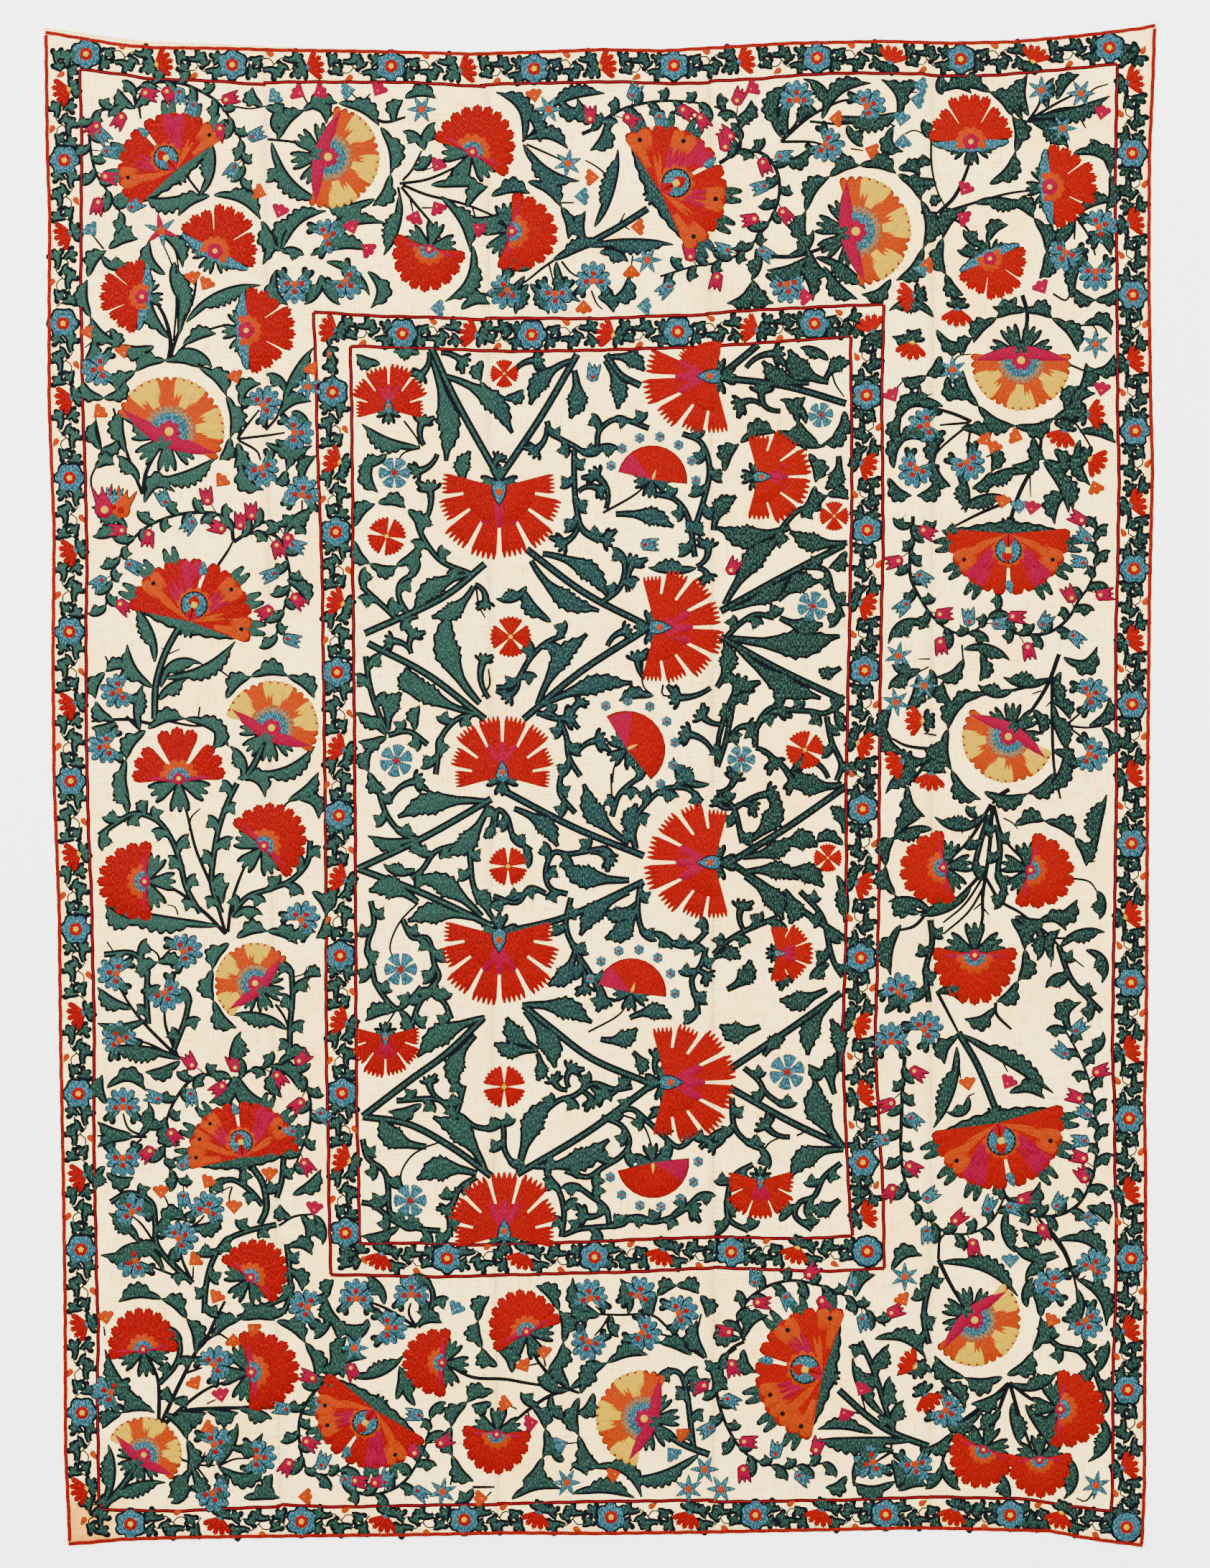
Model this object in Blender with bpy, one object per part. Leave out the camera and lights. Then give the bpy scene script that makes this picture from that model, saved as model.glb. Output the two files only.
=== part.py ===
"""Suzani cover: five handwoven cotton panels sewn side by side, with a red silk braid along each rim.

The cover lies flat on a surface, face up, with its length along Y and its origin under its middle.
Every panel is a thin sheet with the uneven outline of the worn cloth and a few low swells beside its
seams. The braid strips lie on the panels, just inside the rim.
"""

import bpy
import numpy as np

CM = 0.01
GAP = 0.0003                # between pieces that touch
CLOTH_THICK = 0.0016        # cotton with its silk
BRAID_THICK = 0.0012
BRAID_HALF = 0.0030         # half the width of the edging braid
CORNER_GAP = 0.0010         # between the braids that meet at a corner
PANELS = 5
COLUMNS_IN_PANEL = 6        # cells across one panel
ROWS_IN_PANEL = 36          # cells along one panel
SIDE_STEPS = 48             # cells along a side braid
END_STEPS = 40              # cells along the top or bottom braid
FLAT_MARGIN = 0.09          # the cloth lies dead flat this close to its rim
FADE = 0.10                 # and its swells grow to their full height over this width

# Where the middle of the edging braid runs: a station along the side and the line's place there, in cm
# from the middle of the cover.
TOP_LINE = (  # x, y
    (-90, 119.1), (-87, 118.6), (-80, 117.4), (-75, 116.6), (-70, 116.2), (-60, 116.1), (-50, 115.8),
    (-35, 115.6), (-20, 115.2), (-10, 115.5), (0, 115.9), (10, 115.7), (20, 116.3), (30, 116.9),
    (45, 117.2), (55, 116.9), (65, 117.1), (75, 118.0), (85, 119.2), (90, 120.2))
BOTTOM_LINE = (  # x, y
    (-90, -119.2), (-83, -119.2), (-80, -119.0), (-75, -118.5), (-65, -118.2), (-50, -118.0),
    (-30, -117.8), (-15, -117.5), (0, -117.6), (15, -117.4), (30, -117.1), (50, -116.7), (60, -116.9),
    (71, -117.2), (76, -118.2), (80, -118.8), (90, -120.0))
LEFT_LINE = (  # y, x
    (-122, -83.3), (-115, -83.5), (-105, -84.0), (-80, -84.1), (-60, -84.4), (-40, -84.8), (-20, -85.0),
    (0, -85.8), (20, -86.0), (40, -85.8), (60, -86.6), (75, -86.6), (90, -86.5), (100, -86.9),
    (120, -87.1))
RIGHT_LINE = (  # y, x
    (-122, 85.2), (-110, 85.7), (-85, 85.8), (-60, 85.9), (-50, 85.7), (-40, 86.0), (0, 86.2),
    (30, 86.5), (50, 87.0), (60, 86.7), (80, 86.4), (100, 86.5), (110, 87.0), (122, 87.4))
# How far the cotton reaches past the middle of the top braid, in cm: the plain hem strip at the left.
TOP_HEM = ((-87, 0.8), (-75, 1.0), (-65, 0.85), (-50, 0.5), (-40, 0.3))  # x, reach
# The seams between the panels, from left to right, each as a line of its own.
SEAM_LINES = (  # y, x
    ((-117, -50.2), (-20, -51.5), (118, -52.6)),
    ((-117, -15.9), (-20, -17.0), (118, -17.6)),
    ((-117, 17.9), (-20, 17.9), (118, 17.3)),
    ((-117, 52.0), (-20, 52.2), (118, 52.5)))
# Low swells where the seam thread has drawn the cotton in.
SWELLS = (  # middle x cm, middle y cm, half width cm, half length cm, height m
    (-51.5, 52, 9, 26, 0.0030),
    (-50.8, -48, 8, 22, 0.0024),
    (-17.0, 78, 7, 20, 0.0022),
    (-16.8, -8, 9, 30, 0.0032),
    (-16.2, -86, 7, 14, 0.0020),
    (17.6, 34, 8, 26, 0.0028),
    (17.8, -58, 8, 24, 0.0026),
    (52.3, 66, 8, 22, 0.0026),
    (52.2, -18, 9, 28, 0.0030),
    (52.0, -88, 7, 12, 0.0018))


def on_line(line, station):
    """Place of a line at a station, in metres, read between its points."""
    stations, places = np.array(line, float).T
    return np.interp(station, stations * CM, places * CM)


def panel_sides(number, y):
    """x of a panel's left and right edge at y: a rim of the cover, or half a gap off a seam."""
    left = on_line(LEFT_LINE, y) - BRAID_HALF
    right = on_line(RIGHT_LINE, y) + BRAID_HALF
    if number > 1:
        left = on_line(SEAM_LINES[number - 2], y) + GAP / 2
    if number < PANELS:
        right = on_line(SEAM_LINES[number - 1], y) - GAP / 2
    return left, right


def panel_ends(x):
    """y of the cotton's bottom and top rim at x."""
    return on_line(BOTTOM_LINE, x) - BRAID_HALF, on_line(TOP_LINE, x) + on_line(TOP_HEM, x)


def lift(x, y):
    """Height of the underside: round-topped swells, and none near the rim, so the cover rests flat."""
    height = np.zeros_like(x)
    for middle_x, middle_y, half_width, half_length, top in SWELLS:
        far = np.hypot((x / CM - middle_x) / half_width, (y / CM - middle_y) / half_length)
        height += top * np.cos(np.clip(far, 0, 1) * np.pi / 2) ** 2
    inside = np.minimum.reduce([
        x - on_line(LEFT_LINE, y), on_line(RIGHT_LINE, y) - x,
        on_line(TOP_LINE, x) - y, y - on_line(BOTTOM_LINE, x)])
    fade = np.clip((inside - FLAT_MARGIN) / FADE, 0, 1)
    return height * fade * fade * (3 - 2 * fade)


def panel_points(number):
    """Grid of points on a panel's underside, spread between its two sides and its two ends."""
    across = np.linspace(0, 1, COLUMNS_IN_PANEL + 1)[None, :]
    along = np.linspace(0, 1, ROWS_IN_PANEL + 1)[:, None]
    y = (along - 0.5) * 2.36 + 0 * across
    for _ in range(6):                  # x and y each depend a little on the other
        left, right = panel_sides(number, y)
        x = left + (right - left) * across
        bottom, top = panel_ends(x)
        y = bottom + (top - bottom) * along
    return np.stack([x, y, lift(x, y)], axis=-1)


def strip_points(x, y, step_x, step_y):
    """Two rows of points, half a braid's width to each side of the line x, y, level on the flat rim."""
    height = np.full(len(x), CLOTH_THICK + GAP)
    return np.stack([np.stack([x + side * step_x, y + side * step_y, height], axis=-1) for side in (-1, 1)])


def side_braid_points(line):
    """The braid down the left or right rim, from just above the bottom braid to just below the top one."""
    reach = BRAID_HALF + CORNER_GAP
    width = np.array([-BRAID_HALF, BRAID_HALF])
    low = on_line(BOTTOM_LINE, on_line(line, -1.19) + width).max() + reach
    high = on_line(TOP_LINE, on_line(line, 1.19) + width).min() - reach
    y = np.linspace(low, high, SIDE_STEPS + 1)
    return strip_points(on_line(line, y), y, BRAID_HALF, 0)


def end_braid_points(line):
    """The braid along the top or bottom rim, from one corner of the cover to the other."""
    left = panel_sides(1, on_line(line, -0.85))[0]
    right = panel_sides(PANELS, on_line(line, 0.85))[1]
    x = np.linspace(left, right, END_STEPS + 1)
    return strip_points(x, on_line(line, x), 0, BRAID_HALF)


def cloth_material(name, colour, roughness):
    """A plain matt cloth material."""
    material = bpy.data.materials.new(name)
    material.use_nodes = True
    shader = material.node_tree.nodes["Principled BSDF"]
    shader.inputs["Base Color"].default_value = (*colour, 1)
    shader.inputs["Roughness"].default_value = roughness
    shader.inputs["Metallic"].default_value = 0
    return material


def sheet(name, points, thick, material):
    """A thin closed sheet: a grid of quads with its face up, thickened upwards."""
    rows, columns = points.shape[:2]
    corner = np.arange(rows * columns).reshape(rows, columns)
    quads = np.stack([corner[:-1, :-1], corner[:-1, 1:], corner[1:, 1:], corner[1:, :-1]], axis=-1)
    mesh = bpy.data.meshes.new(name)
    mesh.from_pydata(points.reshape(-1, 3).tolist(), [], quads.reshape(-1, 4).tolist())
    if mesh.polygons[0].normal.z < 0:
        mesh.flip_normals()
    mesh.materials.append(material)
    solid = bpy.data.objects.new(name, mesh)
    bpy.context.scene.collection.objects.link(solid)
    thickness = solid.modifiers.new("thickness", "SOLIDIFY")
    thickness.thickness = thick
    thickness.offset = 1.0
    return solid


for old in list(bpy.data.objects):
    bpy.data.objects.remove(old)

panels = {f"cloth_panel_{number}": panel_points(number) for number in range(1, PANELS + 1)}
braids = {
    "edging_top": end_braid_points(TOP_LINE),
    "edging_right": side_braid_points(RIGHT_LINE),
    "edging_bottom": end_braid_points(BOTTOM_LINE),
    "edging_left": side_braid_points(LEFT_LINE)}

# The origin is on the surface, under the middle of the whole outline.
every_point = np.concatenate([grid.reshape(-1, 3) for grid in panels.values()])
middle = (every_point.min(axis=0) + every_point.max(axis=0)) / 2 * [1, 1, 0]

for name, grid in panels.items():
    sheet(name, grid - middle, CLOTH_THICK, cloth_material(name, (0.87, 0.76, 0.58), 0.92))
for name, grid in braids.items():
    sheet(name, grid - middle, BRAID_THICK, cloth_material(name, (0.55, 0.03, 0.02), 0.6))
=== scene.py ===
"""The suzani cover's looks: handwoven cotton, couched silk flowers and leaves, and a silk braid.

Places are in centimetres from the middle of the cover as it lies, x to the right and y up its length.
Directions are in degrees, anticlockwise from x.
"""

import bmesh
import bpy
import numpy as np
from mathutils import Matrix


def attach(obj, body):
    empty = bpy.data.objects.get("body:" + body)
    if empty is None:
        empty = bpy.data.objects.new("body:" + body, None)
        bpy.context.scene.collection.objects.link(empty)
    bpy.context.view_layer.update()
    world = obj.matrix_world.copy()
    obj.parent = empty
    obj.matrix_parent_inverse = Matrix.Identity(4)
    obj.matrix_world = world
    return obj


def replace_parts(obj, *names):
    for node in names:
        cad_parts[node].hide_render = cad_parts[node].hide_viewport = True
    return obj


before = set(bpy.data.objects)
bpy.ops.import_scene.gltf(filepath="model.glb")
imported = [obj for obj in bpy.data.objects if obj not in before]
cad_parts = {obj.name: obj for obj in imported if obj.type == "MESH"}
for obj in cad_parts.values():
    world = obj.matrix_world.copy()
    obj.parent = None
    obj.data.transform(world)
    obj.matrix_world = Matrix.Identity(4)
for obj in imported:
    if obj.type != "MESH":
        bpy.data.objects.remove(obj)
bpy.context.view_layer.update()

# --- Cotton panels ---------------------------------------------------------------------------------
# Five lengths of handspun, handwoven cotton, each about 35 cm wide, cut with uneven ends. They lie
# side by side, and a few low swells stand where the seam thread has drawn the cloth in.
CM = 0.01
MM = 0.001
PANELS = 5
PANEL_WIDTH = 35            # cm, about
PANEL_LENGTH = 236          # cm, about
CLOTH_THICK = 1.4           # mm
SEAM_GAP = 0.03             # cm
BRAID_HALF = 0.3            # cm, half the edging braid's width
CELL = 1.9                  # cm, one cell of a panel's mesh
WAVER = 0.03                # cm, how far a rim wavers to each side

TOP_LINE = (  # x, y of the middle of the top braid
    (-90, 119.1), (-87, 118.6), (-80, 117.4), (-75, 116.6), (-70, 116.2), (-60, 116.1), (-50, 115.8),
    (-35, 115.6), (-20, 115.2), (-10, 115.5), (0, 115.9), (10, 115.7), (20, 116.3), (30, 116.9),
    (45, 117.2), (55, 116.9), (65, 117.1), (75, 118), (85, 119.2), (90, 120.2))
BOTTOM_LINE = (  # x, y
    (-90, -119.2), (-83, -119.2), (-80, -119), (-75, -118.5), (-65, -118.2), (-50, -118), (-30, -117.8),
    (-15, -117.5), (0, -117.6), (15, -117.4), (30, -117.1), (50, -116.7), (60, -116.9), (71, -117.2),
    (76, -118.2), (80, -118.8), (90, -120))
LEFT_LINE = (  # y, x
    (-122, -83.3), (-115, -83.5), (-105, -84), (-80, -84.1), (-60, -84.4), (-40, -84.8), (-20, -85),
    (0, -85.8), (20, -86), (40, -85.8), (60, -86.6), (75, -86.6), (90, -86.5), (100, -86.9), (120, -87.1))
RIGHT_LINE = (  # y, x
    (-122, 85.2), (-110, 85.7), (-85, 85.8), (-60, 85.9), (-50, 85.7), (-40, 86.0), (0, 86.2),
    (30, 86.5), (50, 87.0), (60, 86.7), (80, 86.4), (100, 86.5), (110, 87.0), (122, 87.4))
TOP_HEM = ((-87, 0.8), (-75, 1.0), (-65, 0.85), (-50, 0.5), (-40, 0.3))  # x, how far the cotton reaches
SEAM_LINES = (  # y, x of each seam
    ((-117, -50.2), (-20, -51.5), (118, -52.6)), ((-117, -15.9), (-20, -17), (118, -17.6)),
    ((-117, 17.9), (-20, 17.9), (118, 17.3)), ((-117, 52), (-20, 52.2), (118, 52.5)))
SWELLS = (  # middle x, middle y, half width, half length, height mm
    (-51.5, 52, 9, 26, 3), (-50.8, -48, 8, 22, 2.4), (-17, 78, 7, 20, 2.2), (-16.8, -8, 9, 30, 3.2),
    (-16.2, -86, 7, 14, 2), (17.6, 34, 8, 26, 2.8), (17.8, -58, 8, 24, 2.6), (52.3, 66, 8, 22, 2.6),
    (52.2, -18, 9, 28, 3), (52, -88, 7, 12, 1.8))
FLAT_MARGIN = 9.0           # cm inside the rim where the cloth lies flat
FADE = 10.0                 # cm inside that over which the swells reach their full height


def on_line(line, station):
    """Place of a line at a station, read straight between its points."""
    stations, places = np.array(line, float).T
    return np.interp(station, stations, places)


def lift(x, y):
    """Height of the cloth's underside in mm: cosine-squared swells, faded out towards the rim."""
    height = np.zeros(np.shape(x))
    for middle_x, middle_y, half_width, half_length, top in SWELLS:
        far = np.hypot((x - middle_x) / half_width, (y - middle_y) / half_length)
        height += top * np.cos(np.clip(far, 0, 1) * np.pi / 2) ** 2
    inside = np.minimum.reduce([x - on_line(LEFT_LINE, y), on_line(RIGHT_LINE, y) - x,
                                on_line(TOP_LINE, x) - y, y - on_line(BOTTOM_LINE, x)])
    fade = np.clip((inside - FLAT_MARGIN) / FADE, 0, 1)
    return height * fade * fade * (3 - 2 * fade)


def panel_sides(number, y):
    """x of a panel's two edges at y: the rim of the cover, or half a gap off a seam."""
    left = on_line(LEFT_LINE, y) - BRAID_HALF - WAVER * np.sin(y * 2.1) * np.sin(y * 0.57)
    right = on_line(RIGHT_LINE, y) + BRAID_HALF + WAVER * np.sin(y * 1.9) * np.sin(y * 0.63)
    if number > 1:
        left = on_line(SEAM_LINES[number - 2], y) + SEAM_GAP / 2
    if number < PANELS:
        right = on_line(SEAM_LINES[number - 1], y) - SEAM_GAP / 2
    return left, right


def panel_grid(number):
    """Points of a panel: x runs evenly between its sides and y evenly between the ends at that x. Each
    depends a little on the other, so they are worked out in turn until they settle."""
    across = np.linspace(0, 1, round(PANEL_WIDTH / CELL) + 1)[None, :]
    along = np.linspace(0, 1, round(PANEL_LENGTH / CELL) + 1)[:, None]
    y = (along - 0.5) * PANEL_LENGTH + 0 * across
    for _ in range(6):
        left, right = panel_sides(number, y)
        x = left + (right - left) * across
        bottom = on_line(BOTTOM_LINE, x) - BRAID_HALF
        top = on_line(TOP_LINE, x) + on_line(TOP_HEM, x) + 0.05 * np.sin(x * 3.3) * np.sin(x * 0.9)
        y = bottom + (top - bottom) * along
    return x, y


panel_grids = [panel_grid(number) for number in range(1, PANELS + 1)]
every_x = np.concatenate([x.ravel() for x, y in panel_grids])
every_y = np.concatenate([y.ravel() for x, y in panel_grids])
MIDDLE_X = (every_x.min() + every_x.max()) / 2
MIDDLE_Y = (every_y.min() + every_y.max()) / 2


def points_at(x, y, height):
    """Points in metres in the frame, from cm on the cover and mm above the surface it lies on."""
    return np.stack([(x - MIDDLE_X) * CM, (y - MIDDLE_Y) * CM, height * MM + 0 * x], axis=-1)


def quads_of(rows, columns):
    """Corner numbers of every quad of a grid with so many rows and columns of points."""
    corner = np.arange(rows * columns).reshape(rows, columns)
    return np.stack([corner[:-1, :-1], corner[:-1, 1:], corner[1:, 1:], corner[1:, :-1]], -1).reshape(-1, 4)


def make_piece(name, points, quads, material):
    """A mesh object of these points and quads, with every face turned up."""
    diagonal_a = points[quads[:, 2]] - points[quads[:, 0]]
    diagonal_b = points[quads[:, 3]] - points[quads[:, 1]]
    down = (diagonal_a[:, 0] * diagonal_b[:, 1] - diagonal_a[:, 1] * diagonal_b[:, 0]) < 0
    quads = np.where(down[:, None], quads[:, ::-1], quads)
    mesh = bpy.data.meshes.new(name)
    mesh.vertices.add(len(points))
    mesh.vertices.foreach_set("co", points.astype(np.float32).ravel())
    mesh.loops.add(quads.size)
    mesh.loops.foreach_set("vertex_index", quads.astype(np.int32).ravel())
    mesh.polygons.add(len(quads))
    mesh.polygons.foreach_set("loop_start", np.arange(0, quads.size, 4, dtype=np.int32))
    mesh.update(calc_edges=True)
    mesh.polygons.foreach_set("use_smooth", np.full(len(quads), True))
    mesh.materials.append(material)
    piece = bpy.data.objects.new(name, mesh)
    bpy.context.scene.collection.objects.link(piece)
    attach(piece, "root")
    return piece


def linear(hex_colour):
    """A colour written as sRGB hex, such as F3E2C4, as linear red, green, blue and alpha."""
    srgb = np.array([int(hex_colour[i:i + 2], 16) for i in (0, 2, 4)]) / 255
    return (*np.where(srgb <= 0.04045, srgb / 12.92, ((srgb + 0.055) / 1.055) ** 2.4), 1.0)


def add(tree, kind, settings=None, **sockets):
    """One node with its settings. A socket's value is a number, a colour, or another node's output.
    An underscore in a socket's name stands for a space, and a name like in0 gives a socket by number."""
    made = tree.nodes.new(kind)
    for setting, value in (settings or {}).items():
        setattr(made, setting, value)
    for name, value in sockets.items():
        place = int(name[2:]) if name[:2] == "in" and name[2:].isdigit() else name.replace("_", " ")
        if isinstance(value, bpy.types.NodeSocket):
            tree.links.new(value, made.inputs[place])
        else:
            made.inputs[place].default_value = value
    return made


def ramp(tree, factor, stops, interpolation="LINEAR"):
    """A colour ramp's output, from stops of place and hex colour."""
    made = add(tree, "ShaderNodeValToRGB", Fac=factor)
    made.color_ramp.interpolation = interpolation
    elements = made.color_ramp.elements
    while len(elements) < len(stops):
        elements.new(1.0)
    for element, (place, colour) in zip(elements, stops):
        element.position = place
        element.color = linear(colour)
    return made.outputs["Color"]


def fresh_material(name):
    """An empty material with a Principled shader: its tree and the shader."""
    material = bpy.data.materials.new(name)
    material.use_nodes = True
    return material, material.node_tree, material.node_tree.nodes["Principled BSDF"]


# Handspun, handwoven cotton: matt and warm ivory, with slubs about 2 mm wide and 30 mm long along both
# of its threads, drawn coarser than real so that they show, and the yellow stains of age.
cotton, tree, shader = fresh_material("handwoven_cotton")
place = add(tree, "ShaderNodeTexCoord").outputs["Object"]
warp = add(tree, "ShaderNodeMapping", Vector=place, Scale=(620, 34, 1))
warp = add(tree, "ShaderNodeTexNoise", Vector=warp.outputs[0], Scale=1, Detail=2)
weft = add(tree, "ShaderNodeMapping", Vector=place, Scale=(30, 560, 1))
weft = add(tree, "ShaderNodeTexNoise", Vector=weft.outputs[0], Scale=1, Detail=2)
threads = add(tree, "ShaderNodeMath", {"operation": "ADD"}, in0=warp.outputs[0], in1=weft.outputs[0])
ground = ramp(tree, threads.outputs[0], ((0.72, "CCA650"), (0.92, "F2CC78"), (1.12, "F8DA90")))
age = add(tree, "ShaderNodeTexNoise", Vector=place, Scale=5.5, Detail=5, Roughness=0.62)
age = ramp(tree, age.outputs[0], ((0.46, "FFFFFF"), (0.66, "FBEFD6"), (0.85, "F2DDB8")))
cloth_colour = add(tree, "ShaderNodeMix", {"data_type": "RGBA", "blend_type": "MULTIPLY"},
                   in0=1.0, in6=ground, in7=age)
# The old water stain in the bottom left corner: a soft round spot of darker yellow.
stain = add(tree, "ShaderNodeVectorMath", {"operation": "DISTANCE"}, in0=place, in1=(-0.81, -1.165, 0))
stain = add(tree, "ShaderNodeMapRange", Value=stain.outputs["Value"], From_Min=0.075, From_Max=0.03)
stained = add(tree, "ShaderNodeMix", {"data_type": "RGBA", "blend_type": "MULTIPLY"},
              in0=stain.outputs[0], in6=cloth_colour.outputs[2], in7=linear("D2A86A"))
tree.links.new(stained.outputs[2], shader.inputs["Base Color"])
shader.inputs["Roughness"].default_value = 0.92
shader.inputs["Specular IOR Level"].default_value = 0.04
weave_bump = add(tree, "ShaderNodeBump", Height=threads.outputs[0], Strength=0.35, Distance=0.0006)
tree.links.new(weave_bump.outputs[0], shader.inputs["Normal"])

for number, (x, y) in enumerate(panel_grids, start=1):
    panel = make_piece(f"cotton_panel_{number}", points_at(x, y, lift(x, y)).reshape(-1, 3),
                       quads_of(*x.shape), cotton)
    body = panel.modifiers.new("thickness", "SOLIDIFY")
    body.thickness = CLOTH_THICK * MM
    body.offset = 1.0
    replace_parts(panel, f"cloth_panel_{number}")

# --- Edging braid ----------------------------------------------------------------------------------
# A narrow braid of red silk, two plies twisted over one another, sewn flat along each rim. Its thread is
# dull and dark with wear.
def smooth_path(points, step):
    """A smooth line through given points (a Catmull-Rom curve), cut into even steps."""
    line = np.array(points, float).reshape(-1, 2)
    line = np.concatenate([[2 * line[0] - line[1]], line, [2 * line[-1] - line[-2]]])
    t = np.linspace(0, 1, 8, endpoint=False)[None, :, None]
    a, b, c, d = (line[i:len(line) - 3 + i][:, None, :] for i in range(4))
    curve = (2 * b + (c - a) * t + (2 * a - 5 * b + 4 * c - d) * t ** 2
             + (3 * b - a - 3 * c + d) * t ** 3) / 2
    curve = np.concatenate([curve.reshape(-1, 2), line[-2:-1]])
    along = np.concatenate([[0], np.cumsum(np.hypot(*np.diff(curve, axis=0).T))])
    stops = np.linspace(0, along[-1], max(2, round(along[-1] / step)) + 1)
    return np.stack([np.interp(stops, along, curve[:, axis]) for axis in (0, 1)], axis=-1)


ROLL = 0.1                  # cm, the rim of a strip that rolls down into the cloth
RAISED = np.array([0.0, 1.0, 1.0, 0.0])     # how high a strip's four lines of points stand


def ribbon(path, right, left=None, across=None):
    """Grid of a strip along a path, from its half width on the right to its half width on the left.
    Its lines are its two rims and a line inside each of them, unless across gives them."""
    ahead = np.gradient(path, axis=0)
    ahead = ahead / (np.linalg.norm(ahead, axis=1, keepdims=True) + 1e-9)
    to_left = np.stack([-ahead[:, 1], ahead[:, 0]], axis=-1)
    right = np.broadcast_to(right, len(path)) + 0.0
    left = right if left is None else np.broadcast_to(left, len(path)) + 0.0
    if across is None:
        offset = np.stack([-right, np.minimum(ROLL, right * 0.4) - right,
                           left - np.minimum(ROLL, left * 0.4), left], axis=-1)
    else:
        offset = np.where(across < 0, right[:, None], left[:, None]) * across
    return path[:, None, :] + to_left[:, None, :] * offset[..., None]


SUNK = 0.2                  # mm, how far the rim of a patch of silk is drawn into the cloth
LOW = 0.43                  # mm, the height of the lines and stems, which lie lowest
OVER_LINES = 0.3            # mm that the patches stand higher than the lines and stems they cover
HAIR = 0.003                # mm from one patch's height to the next
HAIRS = 17                  # patches, after which their heights start again
SWELL = 0.06                # mm that a patch stands higher in the middle of its length
MEET = 0.000004             # metres, points closer than this are one
waiting = {}                # patches sewn so far that aren't in a piece yet, by silk


def sew(silk, grid, height, rise=RAISED):
    """Lays a grid of silk on the cloth: its rims drawn in and its middle this many mm above the face. Each
    patch swells along its length and lies a hair higher or lower than the last, so that no two of them
    lie in one plane."""
    patches = waiting.setdefault(silk, [])
    if height > LOW:
        height += OVER_LINES + HAIR * (len(patches) % HAIRS)
    height = height + SWELL * np.sin(np.pi * np.linspace(0, 1, len(grid)))[:, None]
    patches.append((grid, (height + SUNK) * np.broadcast_to(rise, grid.shape[:2]) - SUNK))


def cut_off(name, silk, material):
    """One piece of all the patches sewn in one silk since the last piece of it."""
    patches = waiting.pop(silk)
    sizes = [grid.shape[0] * grid.shape[1] for grid, _ in patches]
    starts = np.cumsum([0, *sizes[:-1]])
    quads = np.concatenate([quads_of(*grid.shape[:2]) + start for (grid, _), start in zip(patches, starts)])
    x, y = np.concatenate([grid.reshape(-1, 2) for grid, _ in patches]).T
    height = np.concatenate([rise.ravel() for _, rise in patches])
    piece = make_piece(name, points_at(x, y, lift(x, y) + CLOTH_THICK + height), quads, material)
    ends = bmesh.new()          # the points that meet at tips and centres become one
    ends.from_mesh(piece.data)
    bmesh.ops.remove_doubles(ends, verts=ends.verts, dist=MEET)
    ends.to_mesh(piece.data)
    ends.free()
    return piece


def by_panel(tree, across, lots):
    """A colour for each panel from left to right, changing at the seams. Across runs from nought at 1 m
    left of the middle to one at 1 m right of it."""
    seams = [0] + [(seam[1][1] - MIDDLE_X) / 200 + 0.5 for seam in SEAM_LINES]
    return ramp(tree, across, tuple(zip(seams, lots)), "CONSTANT")


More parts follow.
